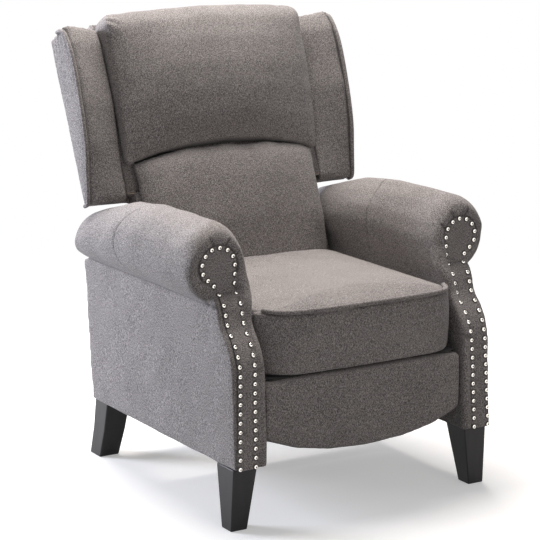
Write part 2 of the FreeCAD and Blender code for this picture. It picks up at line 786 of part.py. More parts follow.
def mechanism():
    """Base plates, swing links, seat plates, back drive and footrest links of both sides."""
    snug = pin_radius + pin_play
    loose = pin_radius + open_play
    slack = layer_step - plate_thick
    rim = (slack - head_thick) / 2
    swing_top = swing_low_z + swing_rise
    plate_low = leg_height + cross_rail_high + 2

    base = panel(
        "left_base_plate",
        "YZ_Plane",
        layer(6),
        plate_thick,
        [
            (swing_front_y - 20, plate_low),
            (anchor_y - 8, plate_low),
            (anchor_y, swing_low_z + 5),
            (anchor_y + 12, anchor_z - 20),
            (anchor_y + 12, anchor_z + 9),
            (anchor_y - 12, anchor_z + 9),
            (anchor_y - 16, anchor_z - 16),
            (anchor_y - 30, swing_low_z + 35),
            (swing_front_y, swing_low_z + 35),
            (swing_front_y - 20, swing_low_z + 15),
        ],
    )
    both_sides("base_plate", base)
    pins = []
    for name, y, z in (
        ("front", swing_front_y, swing_low_z),
        ("rear", swing_rear_y, swing_low_z),
        ("anchor", anchor_y, anchor_z),
    ):
        members = pivot(f"base_{name}", y, z, layer(6), layer(5) - slack + rim)
        pins.append(fused(f"base_pin_{name}", members))
    group = doc.addObject("Part::Compound", "left_base_pins")
    group.Links = pins
    both_sides("base_pins", group)

    for name, start in (("front_swing_links", swing_front_y), ("rear_swing_links", swing_rear_y)):
        ends = [(start, swing_low_z), (start + swing_run, swing_top)]
        strap(name, 5, ends, [(*end, snug) for end in ends])

    front_top = swing_front_y + swing_run
    rear_top = swing_rear_y + swing_run
    notch = seat_front + 3.5 + seat_corner_deep + 1
    seat = panel(
        "left_seat_plate",
        "YZ_Plane",
        layer(4),
        plate_thick,
        [
            (front_pivot_y - 12, front_pivot_z - 11),
            (rear_pivot_y - 10, rear_pivot_z - 12.4),
            (rear_pivot_y + 9, rear_pivot_z - 12.4),
            (rear_pivot_y + 28, rear_pivot_z + 25),
            (front_top - 24, swing_top + 37),
            (front_top - 12, swing_top - 11),
            (front_top + 12, swing_top - 11),
            (front_top + 24, swing_top + 37),
            (rear_top - 24, swing_top + 37),
            (rear_top - 12, swing_top - 11),
            (rear_top + 12, swing_top - 11),
            (rear_top + 24, swing_top + 37),
            (recline_y - 50, recline_z - 42),
            (recline_y - 10, recline_z - 13),
            (recline_y + 11, recline_z - 10),
            (recline_y + 13, recline_z + 9),
            (recline_y - 8, recline_z + 12),
            (recline_y - 60, seat_deck),
            (notch, seat_deck),
            (notch, band_low - 6),
            (front_pivot_y - 12, front_pivot_z + 12),
        ],
    )
    both_sides("seat_plate", seat)
    pins = []
    for name, y, z in (("rear_link", rear_pivot_y, rear_pivot_z), ("back", recline_y, recline_z)):
        members = pivot(f"seat_{name}", y, z, layer(4), layer(3) - slack + rim)
        pins.append(fused(f"seat_pin_{name}", members))
    pins.extend(pivot("seat_front_link", front_pivot_y, front_pivot_z, layer(4), layer(2) + rim, headed=False))
    for name, start in (("front_swing", front_top), ("rear_swing", rear_top)):
        members = pivot(f"seat_{name}", start, swing_top, layer(5) - slack, layer(5) + plate_thick + rim + head_thick)
        pins.append(fused(f"seat_pin_{name}", members))
    group = doc.addObject("Part::Compound", "left_seat_pins")
    group.Links = pins
    both_sides("seat_pins", group)

    bracket = panel(
        "left_back_bracket_plate",
        "YZ_Plane",
        layer(3),
        plate_thick,
        [
            (recline_y - 64, recline_z + 30),
            (recline_y - 10, recline_z - 12),
            (recline_y + 14, recline_z - 8),
            (recline_y + 20, drive_z + 22),
            (recline_y + 12, drive_z + 34),
            (recline_y + 16, drive_z + 102),
            (recline_y - 14, drive_z + 102),
        ],
        [(recline_y, recline_z, snug)],
    )
    end = layer(5) + plate_thick + rim + head_thick
    stud = pivot("back_drive", drive_y, drive_z, layer(3) + plate_thick / 2, end)
    both_sides("back_bracket", fused("left_back_bracket", [bracket, *stud]))
    strap(
        "back_drive_links",
        5,
        [(drive_y, drive_z), (anchor_y, anchor_z)],
        [(drive_y, drive_z, pin_radius + drive_play), (anchor_y, anchor_z, snug)],
    )

    half = plate_thick / 2
    strap(
        "ottoman_rear_links",
        3,
        [(rear_pivot_y, rear_pivot_z), (tail_y, tail_z)],
        [(rear_pivot_y, rear_pivot_z, snug)],
        pivot("tail_stud", tail_y, tail_z, layer(3) + half, layer(1) - slack + rim),
    )
    cross_stud = pivot("cross_stud", cross_y, cross_z, layer(2) + half, layer(1) - slack + rim)
    end = layer(3) + plate_thick + rim + head_thick
    outer_stud = pivot("outer_stud", outer_y, outer_z, layer(2) + half, end)
    strap(
        "ottoman_front_links",
        2,
        [(front_pivot_y, front_pivot_z), (cross_y, cross_z), (outer_y, outer_z)],
        [(front_pivot_y, front_pivot_z, snug)],
        cross_stud + outer_stud,
    )
    strap(
        "ottoman_cross_links",
        1,
        [(tail_y, tail_z), (cross_y, cross_z), (rest_in_y, rest_in_z)],
        [(tail_y, tail_z, loose), (cross_y, cross_z, snug), (rest_in_y, rest_in_z, snug)],
    )
    strap(
        "ottoman_outer_links",
        3,
        [(outer_y, outer_z), (rest_out_y, rest_out_z)],
        [(outer_y, outer_z, snug), (rest_out_y, rest_out_z, loose)],
    )

    rear_face = rest_board_front + rest_board_thick
    plate = panel(
        "left_footrest_bracket_plate",
        "YZ_Plane",
        layer(0),
        plate_thick,
        [
            (rear_face, rest_out_z - 44),
            (rear_face + 8, rest_out_z - 44),
            (rest_out_y + 9, rest_out_z - 6),
            (rest_in_y + 10, rest_in_z - 4),
            (rest_in_y + 8, rest_in_z + 8.4),
            (rear_face, rest_in_z + 8.4),
        ],
    )
    flange = block(
        "left_footrest_bracket_flange",
        (layer(0) - 20, rear_face, rest_out_z - 44),
        (layer(0), rear_face + plate_thick, rest_in_z + 8.4),
    )
    inner_stud = pivot("rest_in", rest_in_y, rest_in_z, layer(0) + half, layer(1) + plate_thick - rim, headed=False)
    long_stud = pivot("rest_out", rest_out_y, rest_out_z, layer(0) + half, end)
    bracket = fused("left_footrest_bracket", [plate, flange, *inner_stud, *long_stud])
    grouped("footrest_brackets", [bracket, mirrored("right_footrest_bracket", bracket)])


def seat_frame():
    """Wooden rails and sinuous springs under the seat cushion."""
    side = layer(4)
    front = seat_front + band_thick
    band_end = seat_front + 3.5 + seat_corner_deep
    front_inner = band_end
    rear_inner = seat_rail_rear - seat_rail_thick
    inner = seat_half - band_thick
    horn = band_end + seat_rail_thick
    outline = [
        (-side, band_end),
        (-inner, band_end),
        (-inner + 26, front + 19),
        (-inner + 64, front),
        (inner - 64, front),
        (inner - 26, front + 19),
        (inner, band_end),
        (side, band_end),
        (side, horn),
        (side - seat_rail_thick, horn),
        (side - seat_rail_thick, front_inner),
        (-side + seat_rail_thick, front_inner),
        (-side + seat_rail_thick, horn),
        (-side, horn),
    ]
    low = rest_top + 3
    keep("seat_front_rail", panel("seat_front_rail", "XY_Plane", low, seat_deck - low, outline))
    keep(
        "seat_rear_rail",
        block("seat_rear_rail", (-side, rear_inner, seat_rail_low), (side, seat_rail_rear, seat_deck)),
    )
    rail = block("left_seat_rail", (side - seat_rail_thick, horn, seat_rail_low), (side, rear_inner, seat_deck))
    grouped("seat_side_rails", [rail, mirrored("right_seat_rail", rail)])

    wire = float(spring_wire)
    bars = 12
    start = float(front_inner)
    pitch = (float(rear_inner) - start - wire) / (bars - 1)
    straight = (float(spring_wide) - wire) / 2
    spread = float(side) - float(seat_rail_thick) - float(spring_wide)
    count = int(float(spring_count))
    level = float(seat_deck) - wire
    springs = []
    for number in range(count):
        middle = -spread + 2 * spread * number / (count - 1)
        run = []
        for bar in range(bars):
            way = 1 if bar % 2 == 0 else -1
            y = start + pitch * bar
            run.append(Vector(middle - way * straight, y, level))
            run.append(Vector(middle + way * straight, y, level))
        lane = Part.makePolygon(run).makeOffset2D(wire / 2, 2, True, True, False)
        springs.append(lane.translated(Vector(0, wire / 2, 0)).extrude(Vector(0, 0, wire)))
    piece = doc.addObject("Part::Feature", "seat_springs")
    piece.Shape = Part.makeCompound(springs)
    keep("seat_springs", piece)


def seat_soft():
    """The cushion, the padded band in front of it, and the piping between them."""
    half = float(seat_half)
    corner = float(seat_corner)
    deep = float(seat_corner_deep)
    front = float(seat_front) + 3.5
    inner = float(seat_front) + float(band_thick)
    deck = float(seat_deck)
    welt = float(seat_welt_z)
    shelf = welt - float(welt_radius) - 0.2
    rear = float(seat_rear)

    outline = [
        (-seat_half + band_thick, seat_front + 3.5 + seat_corner_deep),
        (-seat_half, seat_front + 3.5 + seat_corner_deep),
        (-seat_half + seat_corner, seat_front + 3.5, 16),
        (seat_half - seat_corner, seat_front + 3.5, 4),
        (seat_half, seat_front + 3.5 + seat_corner_deep, 16),
        (seat_half - band_thick, seat_front + 3.5 + seat_corner_deep),
        (seat_half - band_thick - 26, seat_front + band_thick + 19),
        (seat_half - band_thick - 64, seat_front + band_thick),
        (-seat_half + band_thick + 64, seat_front + band_thick),
        (-seat_half + band_thick + 26, seat_front + band_thick + 19),
    ]
    high = seat_welt_z - welt_radius - 0.2
    keep("seat_front_band", panel("seat_front_band", "XY_Plane", band_low, high - band_low, outline))

    stations = (0, 90, half - corner, half - 48, half - 25, half - 12, half)
    lead = (0, 0.2, 4, 14, 31, 45, deep - 2)
    behind = {
        half - 48: 25,
        half - 25: front + deep - inner,
        half - 12: front + deep - inner,
        half: front + deep - inner,
    }

    def section(x):
        place = [s for s in stations if abs(abs(x) - s) < 1e-6][0]
        share = place / half
        nose = front + 8 + lead[stations.index(place)] - (4 if place < 100 else 0)
        face = inner + 0.3 + behind.get(place, 5 if place > 100 else 0)
        edge = welt + 5 - 10 * share**6
        crown = float(seat_crown) * (1 - share**6) + 1.5
        back = welt + 9 - 10 * share**6
        middle = (nose + rear) / 2
        return [
            (max(face, nose + 0.4), deck),
            (60, deck),
            (rear - 1, back - 14),
            (rear - 9, back, 4),
            (middle, back + crown * 0.9, crown * 0.28),
            (nose + 5, edge, crown * 0.5),
            (nose, shelf + 1.5, 1.2),
            (nose, shelf),
            (max(face, nose + 0.4), shelf),
        ]

    keep("seat_cushion", loft_across("seat_cushion", both_ways(*stations), section, 3))

    r = float(welt_radius)
    away = 2
    route = [
        (-half + 3.5, front + deep - 1, welt),
        (-half + 6, front + deep - 26, welt),
        (-half + 24, front + deep - 49, welt),
        (-half + 54, front + 7 - away, welt),
        (-half + 104, front - away, welt),
        (-60, front - away - 3, welt),
        (60, front - away - 3, welt),
        (half - 104, front - away, welt),
        (half - 54, front + 7 - away, welt),
        (half - 24, front + deep - 49, welt),
        (half - 6, front + deep - 26, welt),
        (half - 3.5, front + deep - 1, welt),
    ]
    keep("seat_welt", piping("seat_welt", route, r))


def back_frame():
    """Stiles, rails, webbing and the outer panel, drawn upright in the leaning frame."""
    low = back_low_half
    wide = wing_inner - gap
    outer = wing_outer - 5
    sheet_corners = [
        (-low, back_foot - 12),
        (low, back_foot - 12),
        (low, Dim(-8)),
        (outer, Dim(-8)),
        (outer, wing_top - 4),
        (pillow_half, back_head - 5),
        (pillow_half - 6, back_head + 17),
        (-pillow_half + 6, back_head + 17),
        (-pillow_half, back_head - 5),
        (-outer, wing_top - 4),
        (-outer, Dim(-8)),
        (-low, Dim(-8)),
    ]
    keep("outer_back_panel", lean_back(panel("outer_back_panel", "XZ_Plane", 0, back_skin, sheet_corners)))

    stile_corners = oblong((low - stile_wide, back_foot), (low, back_head))
    stile = panel("left_stile_bar", "XZ_Plane", back_skin, stile_deep, stile_corners)
    board_corners = [(low, Dim(5)), (wide, Dim(5)), (wide, back_head - 20), (wide - 12, back_head), (low, back_head)]
    board = panel("left_wing_board", "XZ_Plane", back_skin, stile_deep, board_corners)
    frame = doc.addObject("Part::Compound", "left_back_stile")
    frame.Links = [lean_back(stile), lean_back(board)]
    both_sides("back_stile", frame)
    inner = low - stile_wide
    for label, start, high in (("back_bottom_rail", back_foot, 35), ("back_top_rail", back_head - 40, 40)):
        corners = oblong((-inner, start), (inner, start + high))
        keep(label, lean_back(panel(label, "XZ_Plane", back_skin, stile_deep, corners)))

    straps = []
    count = int(float(web_count))
    reach = back_head - back_foot - 80
    for number in range(count):
        start = back_foot + 20 + reach * (number / (count - 1))
        corners = oblong((-inner - 20, start), (inner + 20, start + web_wide * 0.8))
        straps.append(lean_back(panel(f"webbing_{number}", "XZ_Plane", back_skin + stile_deep, web_thick, corners)))
    grouped("back_webbing", straps)


def back_soft():
    """Head pillow, lumbar cushion, wings and their piping."""
    rear = float(back_skin) + float(stile_deep) + float(web_thick)
    half = float(pillow_half)
    low = float(pillow_low)
    arch = float(pillow_arch)
    top = float(pillow_top)
    front = float(pillow_front)

    def pillow(x):
        share = abs(x) / half
        foot = low - arch * share**2
        foot_out = front - 49 - 30 * share**2
        tuck = 8 * share**24
        rim_out = front - 21 - 6 * share**4 - tuck
        rim = top - 21 - 8 * share**4 - tuck
        return [
            (-foot_out, foot),
            (-rear, foot),
            (-rear, top - 4 * share**4 - tuck),
            (-rim_out, rim, 31 * (1 - 0.35 * share**2)),
            (-foot_out, foot + 6, 33 * (1 - 0.62 * share**2)),
        ]

    stations = both_ways(0, 90, 170, half - 33, half - 8, half)
    keep("head_pillow", loft_across("head_pillow", stations, pillow, 5, leaning()))

    belly = float(lumbar_front)
    wide = float(lumbar_half)
    bottom = float(lumbar_low)

    def lumbar(x):
        share = abs(x) / wide
        over = abs(x) / half
        head = low - 3 - arch * over**2
        fall = share**2
        edge = 12 * share**8
        return [
            (-(belly - 46 - 8 * fall), bottom),
            (-rear, bottom),
            (-rear, head),
            (-(belly - 20 - 25 * fall - edge), head),
            (-(belly - 30 * fall - edge), head - 78, 5),
            (-(belly - 36 - 15 * fall - edge / 2), bottom + 76, 7),
        ]

    stations = both_ways(0, 110, wide - 40, wide - 11, wide)
    keep("lumbar_cushion", loft_across("lumbar_cushion", stations, lumbar, 2, leaning()))

    skin = float(back_skin)
    reach = float(wing_reach)
    crest = float(wing_top)
    set_in = float(wing_setback)

    def wing_profile(inset, away):
        return [
            (-skin, -8 + inset),
            (-skin, crest - 4 - inset),
            (-(reach - 18.5 - away * 0.75), crest + 5 - inset * 0.5 - away * 0.15),
            (-(reach - away), crest - 86, 6),
            (-(reach - 23.5 - away * 0.8), 113, 8),
            (-(33 + away * 0.2), -11 + inset),
        ]

    def wing(x):
        inner = float(wing_inner)
        outer = float(wing_outer)
        if x < inner + 4:
            return wing_profile(8, set_in + 5)
        if x < inner + 30:
            return wing_profile(3, set_in)
        if x < outer - 4:
            return wing_profile(0, 0)
        return wing_profile(5, 6)

    inner = float(wing_inner)
    outer = float(wing_outer)
    spots = (inner, inner + 8, outer - 16, outer)
    piece = loft_across("left_wing", spots, wing, 2, leaning())
    both_sides("wing", piece)

    x = outer - 2
    cord = piping(
        "left_wing_welt",
        [
            (x, -(33 + 2), -9),
            (x, -(reach - 46), 55),
            (x, -(reach - 21), 115),
            (x, -(reach - 6), 210),
            (x, -(reach + 1), crest - 86),
            (x, -(reach - 6), crest - 40),
            (x, -(reach - 22), crest),
        ],
        welt_radius,
        leaning(),
    )
    both_sides("wing_welt", cord)


def footrest():
    """The footrest's board and its padded, crowned face."""
    rear_face = rest_board_front + rest_board_thick
    inner = rest_half - 4
    corners = [
        (-inner, rest_side_low),
        (inner, rest_side_low, rest_sag),
        (inner, rest_top - 18),
        (inner - 14, rest_top - 6),
        (-inner + 14, rest_top - 6),
        (-inner, rest_top - 18),
    ]
    keep("footrest_board", panel("footrest_board", "XZ_Plane", -rear_face, rest_board_thick, corners))

    half = float(rest_half)
    front = float(rest_front)
    back = float(rest_board_front) - 0.3
    low = float(rest_side_low) - 2
    sag = float(rest_sag)
    top = float(rest_top)

    def section(x):
        share = abs(x) / half
        edge = 9 * share**6
        foot = low - sag * (1 - share**2) + edge
        head = top - 6 * share**6
        nose = front + 7 + edge
        return [
            (nose, foot + 9),
            (nose + 9, foot, 2.5),
            (back, foot),
            (back, head),
            (nose + 9, head),
            (nose, head - 9, 2.5),
        ]

    def crowned(x):
        corners = section(x)
        corners[0] = (*corners[0], 7 * (1 - (abs(x) / half) ** 4) + 0.5)
        return corners

    stations = both_ways(0, 90, 170, half - 12, half)
    keep("footrest_pad", loft_across("footrest_pad", stations, crowned, 2))


legs()
arm_boxes()
arm_facing()
nail_domes()
arm_roll()
base_frame()
mechanism()
seat_frame()
seat_soft()
back_frame()
back_soft()
footrest()
doc.recompute()

failed = [item.Label for item in doc.Objects if {"Invalid", "Error"} & set(item.State)]
for label, piece in pieces.items():
    shape = piece.Shape
    if shape.isNull() or not shape.isValid() or not shape.Solids:
        failed.append(label)
if failed:
    raise RuntimeError(f"failed: {failed}")

os.makedirs("parts", exist_ok=True)
for label, piece in pieces.items():
    piece.Shape.exportStep(f"parts/{label}.step")
print(len(pieces), "sub-parts written")
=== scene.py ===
"""Dressed model of a pushback recliner in heathered grey fabric.

It has wings, rolled arms with nailhead trim, and dark legs. Lengths are in metres, apart from the lines of piping
and the places in the leaning frame of the back, which are in millimetres as in the part's source.
"""

import logging
import math
from collections.abc import Callable, Sequence
from dataclasses import dataclass, field
from enum import Enum

import bmesh
import bpy
import numpy as np
from mathutils import Matrix, Vector


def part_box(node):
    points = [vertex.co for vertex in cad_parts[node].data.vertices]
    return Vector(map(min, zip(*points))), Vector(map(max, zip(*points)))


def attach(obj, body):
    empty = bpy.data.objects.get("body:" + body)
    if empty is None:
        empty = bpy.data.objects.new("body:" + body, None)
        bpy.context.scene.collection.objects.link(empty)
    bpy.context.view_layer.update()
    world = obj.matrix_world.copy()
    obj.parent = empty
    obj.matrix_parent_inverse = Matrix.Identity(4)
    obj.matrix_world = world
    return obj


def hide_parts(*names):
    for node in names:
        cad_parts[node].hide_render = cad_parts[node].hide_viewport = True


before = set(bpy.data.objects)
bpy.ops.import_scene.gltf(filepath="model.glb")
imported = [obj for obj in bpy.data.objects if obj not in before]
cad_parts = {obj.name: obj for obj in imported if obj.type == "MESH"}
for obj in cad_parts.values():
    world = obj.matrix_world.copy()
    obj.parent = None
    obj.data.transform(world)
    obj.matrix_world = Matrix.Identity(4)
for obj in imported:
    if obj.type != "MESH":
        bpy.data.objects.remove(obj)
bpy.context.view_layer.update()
LOG = logging.getLogger("recliner")

MM = 0.001
WELD = 1e-5
TINY = 1e-9

Piece = bpy.types.Object
Material = bpy.types.Material
Socket = bpy.types.NodeSocket
Rule = Callable[[np.ndarray, np.ndarray], np.ndarray]


class Side(Enum):
    """The sitter's side that a piece is on."""

    LEFT = 1
    RIGHT = -1

    @property
    def word(self) -> str:
        """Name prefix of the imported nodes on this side."""
        return self.name.lower()


def linear(code: str) -> tuple[float, float, float, float]:
    """Turn an sRGB hex colour into the linear values that shaders take.

    Args:
        code: Colour such as "#8a8583".

    Returns:
        Linear red, green, blue and an alpha of 1.
    """
    parts = [int(code[i : i + 2], 16) / 255 for i in (1, 3, 5)]
    lin = [p / 12.92 if p <= 0.04045 else ((p + 0.055) / 1.055) ** 2.4 for p in parts]
    return (*lin, 1.0)


class NodeBench:
    """Adds and joins the nodes of one node tree."""

    def __init__(self, tree: bpy.types.NodeTree) -> None:
        """Work on a tree."""
        self.tree = tree

    def add(
        self,
        kind: str,
        values: dict | None = None,
        out: int | str = 0,
        stops: Sequence[tuple[float, str]] = (),
        **settings: object,
    ) -> Socket | None:
        """Add one node with its settings and links.

        Args:
            kind: Blender's node type.
            values: Socket values, or output sockets to join, by input name or number.
            out: Name or number of the output that is wanted.
            stops: Places and hex colours of a colour ramp.
            **settings: Properties of the node.

        Returns:
            The wanted output, or None from a node that has none.
        """
        node = self.tree.nodes.new(kind)
        for key, value in settings.items():
            setattr(node, key, value)
        if stops:
            colours = node.color_ramp.elements
            while len(colours) < len(stops):
                colours.new(0.5)
            for element, (place, code) in zip(colours, stops):
                element.position = place
                element.color = linear(code)
        for key, value in (values or {}).items():
            if isinstance(value, Socket):
                self.tree.links.new(value, node.inputs[key])
            else:
                node.inputs[key].default_value = value
        return node.outputs[out] if node.outputs else None


class ShaderBench(NodeBench):
    """The nodes of one material: a Principled shader, its output and what feeds them."""

    def __init__(self, name: str) -> None:
        """Start a material.

        Args:
            name: Its name.
        """
        self.material = bpy.data.materials.new(name)
        self.material.use_nodes = True
        super().__init__(self.material.node_tree)
        self.shader = next(n for n in self.tree.nodes if n.type == "BSDF_PRINCIPLED")
        self.places = self.add("ShaderNodeTexCoord", out="Object")

    def set(self, **values: object) -> None:
        """Set or join the shader's own sockets.

        Args:
            **values: A value or an output socket for each input, with underscores for spaces.
        """
        for key, value in values.items():
            socket = self.shader.inputs[key.replace("_", " ")]
            if isinstance(value, Socket):
                self.tree.links.new(value, socket)
            else:
                socket.default_value = value


# Woven polyester, piece dyed over light and dark yarns. To the eye: a matt grey that breaks up into warm flecks, a
# little longer upright than across, with a soft edge of sheen, darker lines where it is stitched, and painted shade
# in creases, folds and gaps and round the nails.
@dataclass(frozen=True)
class HeatheredWeave:
    """Heathered upholstery cloth, darker along stitched lines and with painted shade in creases and gaps, where a
    piece's attribute says so.
    """

    name: str = "heathered_grey_polyester"
    dark: str = "#4f4b4b"
    middle: str = "#837e7d"
    light: str = "#b7b1ae"
    # One dark colour for stitched lines and for painted shade in creases, gaps and round the nails.
    seam: str = "#2f2c2c"
    fleck: float = 0.0013  # the real flecks are about 0.8 mm wide, too fine to show, so they are coarser here
    streak: tuple[float, float, float] = (1.0, 1.0, 0.45)
    cloud: float = 9.0  # for each metre: slow drift of the dye
    yarn: float = 0.0017  # pairs of real 0.8 mm yarns
    nap: float = 700.0  # hairs for each metre

    def material(self) -> Material:
        """Build the cloth.

        Returns:
            The material.
        """
        bench = ShaderBench(self.name)
        grain = {"Detail": 2.0, "Roughness": 0.6}
        upright = bench.add("ShaderNodeMapping", {"Vector": bench.places, "Scale": self.streak})
        flecks = bench.add("ShaderNodeTexNoise", {"Vector": upright, "Scale": 1 / self.fleck, **grain})
        cloudy = bench.add("ShaderNodeTexNoise", {"Vector": bench.places, "Scale": self.cloud, **grain})
        drift = bench.add("ShaderNodeMath", {0: cloudy, 1: 0.5}, operation="SUBTRACT")
        drift = bench.add("ShaderNodeMath", {0: drift, 1: 0.07}, operation="MULTIPLY")
        tone = bench.add("ShaderNodeMath", {0: flecks, 1: drift}, operation="ADD")
        stops = ((0.36, self.dark), (0.5, self.middle), (0.64, self.light))
        dyed = bench.add("ShaderNodeValToRGB", {"Fac": tone}, stops=stops)
        # The attribute brings in the dark colour: stitched lines, and painted shade in creases, folds, gaps and round
        # the nails.
        stitched_and_shaded = bench.add("ShaderNodeAttribute", out="Fac", attribute_name="seam")
        shades = {0: stitched_and_shaded, 6: dyed, 7: linear(self.seam)}
        colour = bench.add("ShaderNodeMix", shades, 2, data_type="RGBA", blend_type="MIX")
        thread = {"Vector": bench.places, "Scale": 0.31416 / self.yarn, "Distortion": 3.0, "Detail": 1.0}
        warp, depth, weft = (
            bench.add("ShaderNodeTexWave", thread, "Fac", bands_direction=axis) for axis in ("X", "Y", "Z")
        )
        yarns = bench.add("ShaderNodeMath", {0: weft, 1: depth}, operation="ADD")
        yarns = bench.add("ShaderNodeMath", {0: warp, 1: yarns}, operation="ADD")
        yarns = bench.add("ShaderNodeMath", {0: yarns, 1: 0.2}, operation="MULTIPLY")
        hairs = bench.add("ShaderNodeTexNoise", {"Vector": bench.places, "Scale": self.nap, **grain})
        height = bench.add("ShaderNodeMath", {0: yarns, 1: hairs}, operation="ADD")
        raised = bench.add("ShaderNodeBump", {"Height": height, "Strength": 0.5, "Distance": 0.0006})
        rough = bench.add("ShaderNodeMath", {0: flecks, 1: 0.16}, operation="MULTIPLY")
        rough = bench.add("ShaderNodeMath", {0: rough, 1: 0.8}, operation="ADD")
        bench.set(Base_Color=colour, Roughness=rough, Sheen_Weight=0.12, Sheen_Roughness=0.5)
        bench.set(Specular_IOR_Level=0.2, Normal=raised)
        return bench.material


# Beech under an espresso stain, wiped and sealed with satin lacquer, or poplar as it leaves the saw. To the eye: nearly
# black legs with a faint upright grain and a soft shine, and pale dry boards inside the frame.
@dataclass(frozen=True)
class GrainedWood:
    """Wood with grain that runs along one axis, bare or under a satin stain."""

    name: str
    dark: str
    light: str
    grain: tuple[float, float, float]  # stretch of the pattern along each axis
    rough: float
    coat: float = 0.0
    rings: float = 60.0  # for each metre: bands about 17 mm apart
    pores: float = 90.0  # for each metre, four times finer across the grain

    def material(self) -> Material:
        """Build the wood.

        Returns:
            The material.
        """
        bench = ShaderBench(self.name)
        fine = tuple(g * 4 for g in self.grain)
        along = bench.add("ShaderNodeMapping", {"Vector": bench.places, "Scale": self.grain})
        across = bench.add("ShaderNodeMapping", {"Vector": bench.places, "Scale": fine})
        sawn = {"Vector": along, "Scale": self.rings, "Detail": 5.0, "Roughness": 0.6}
        open_pores = {"Vector": across, "Scale": self.pores, "Detail": 2.0, "Roughness": 0.6}
        rings = bench.add("ShaderNodeTexNoise", sawn)
        pores = bench.add("ShaderNodeTexNoise", open_pores)
        broad = bench.add("ShaderNodeMath", {0: rings, 1: 0.7}, operation="MULTIPLY")
        narrow = bench.add("ShaderNodeMath", {0: pores, 1: 0.3}, operation="MULTIPLY")
        tone = bench.add("ShaderNodeMath", {0: broad, 1: narrow}, operation="ADD")
        colour = bench.add("ShaderNodeValToRGB", {"Fac": tone}, stops=((0.35, self.dark), (0.65, self.light)))
        rough = bench.add("ShaderNodeMath", {0: pores, 1: 0.12}, operation="MULTIPLY")
        rough = bench.add("ShaderNodeMath", {0: rough, 1: self.rough - 0.06}, operation="ADD")
        raised = bench.add("ShaderNodeBump", {"Height": tone, "Strength": 0.15, "Distance": 0.0003})
        bench.set(Base_Color=colour, Roughness=rough, Normal=raised)
        bench.set(Coat_Weight=self.coat, Coat_Roughness=0.3, Specular_IOR_Level=0.3)
        return bench.material


# Stamped steel with dull zinc plating. To the eye: dark grey links with cloudy, half-blurred reflections, darker
# than the plating alone as painted shade for the mechanism seen in the frame's gaps.
@dataclass(frozen=True)
class PlatedMetal:
    """Plated metal with faint rubbing marks."""

    name: str
    dark: str
    light: str
    rough: float
    marks: float = 120.0  # for each metre: rubbed patches about 8 mm wide

    def material(self) -> Material:
        """Build the metal.

        Returns:
            The material.
        """
        bench = ShaderBench(self.name)
        along = bench.add("ShaderNodeMapping", {"Vector": bench.places, "Scale": (1.0, 1.0, 3.0)})
        worn = {"Vector": along, "Scale": self.marks, "Detail": 4.0, "Roughness": 0.6}
        rubbed = bench.add("ShaderNodeTexNoise", worn)
        colour = bench.add("ShaderNodeValToRGB", {"Fac": rubbed}, stops=((0.3, self.dark), (0.7, self.light)))
        rough = bench.add("ShaderNodeMath", {0: rubbed, 1: 0.14}, operation="MULTIPLY")
        rough = bench.add("ShaderNodeMath", {0: rough, 1: self.rough - 0.07}, operation="ADD")
        bench.set(Base_Color=colour, Roughness=rough, Metallic=1.0)
        return bench.material


# Pressed nail heads, nickel plated and polished. Their colour is painted light: a painted highlight as a bright ring
# on each dome round a painted dark reflection on its crown, as the photograph's small heads show, and a painted
# shadow as a dark line where they press into the cloth.
@dataclass(frozen=True)
class NickelDome:
    """Polished nickel nail with painted light; the attribute "reach" runs from its crown at 0 to its edge at 1."""

    name: str = "polished_nickel"
    # Painted light: a painted dark reflection on the crown, a painted highlight on the shoulder, a painted shadow at
    # the rim.
    crown: str = "#3a3734"
    shoulder: str = "#f6f2ea"
    rim: str = "#1f1d1b"
    scratches: float = 260.0  # for each metre

    def material(self) -> Material:
        """Build the metal.

        Returns:
            The material.
        """
        bench = ShaderBench(self.name)
        reach = bench.add("ShaderNodeAttribute", out="Fac", attribute_name="reach")
        worn = {"Vector": bench.places, "Scale": self.scratches, "Detail": 3.0, "Roughness": 0.6}
        rubbed = bench.add("ShaderNodeTexNoise", worn)
        uneven = bench.add("ShaderNodeMath", {0: rubbed, 1: 0.5}, operation="SUBTRACT")
        uneven = bench.add("ShaderNodeMath", {0: uneven, 1: 0.1}, operation="MULTIPLY")
        place = bench.add("ShaderNodeMath", {0: reach, 1: uneven}, operation="ADD")
        # Crown, shoulder and rim by distance from the middle: painted reflection, highlight and shadow, not the metal's
        # own colour.
        stops = ((0.24, self.crown), (0.5, self.shoulder), (0.74, self.shoulder), (0.93, self.rim))
        colour = bench.add("ShaderNodeValToRGB", {"Fac": place}, stops=stops)
        rough = bench.add("ShaderNodeMath", {0: rubbed, 1: 0.1}, operation="MULTIPLY")
        rough = bench.add("ShaderNodeMath", {0: rough, 1: 0.14}, operation="ADD")
        bench.set(Base_Color=colour, Roughness=rough, Metallic=1.0)
        return bench.material


# Rubber thread woven into black polypropylene tape. To the eye: dull black with close ribs across the tape.
@dataclass(frozen=True)
class ElasticWebbing:
    """Black elastic webbing."""

    name: str = "black_elastic_webbing"
    dark: str = "#141414"
    light: str = "#343434"
    rib: float = 0.004
    fluff: float = 300.0  # for each metre

    def material(self) -> Material:
        """Build the webbing.

        Returns:
            The material.
        """
        bench = ShaderBench(self.name)
        thread = {"Vector": bench.places, "Scale": 0.31416 / self.rib, "Distortion": 0.0, "Detail": 1.0}
        bands = bench.add("ShaderNodeTexWave", thread, "Fac", bands_direction="Z")
        worn = {"Vector": bench.places, "Scale": self.fluff, "Detail": 3.0, "Roughness": 0.6}
        fluff = bench.add("ShaderNodeTexNoise", worn)
        ribs = bench.add("ShaderNodeMath", {0: bands, 1: fluff}, operation="MULTIPLY")
        colour = bench.add("ShaderNodeValToRGB", {"Fac": ribs}, stops=((0.1, self.dark), (0.6, self.light)))
        raised = bench.add("ShaderNodeBump", {"Height": ribs, "Strength": 0.4, "Distance": 0.0006})
        bench.set(Base_Color=colour, Roughness=0.85, Normal=raised)
        return bench.material


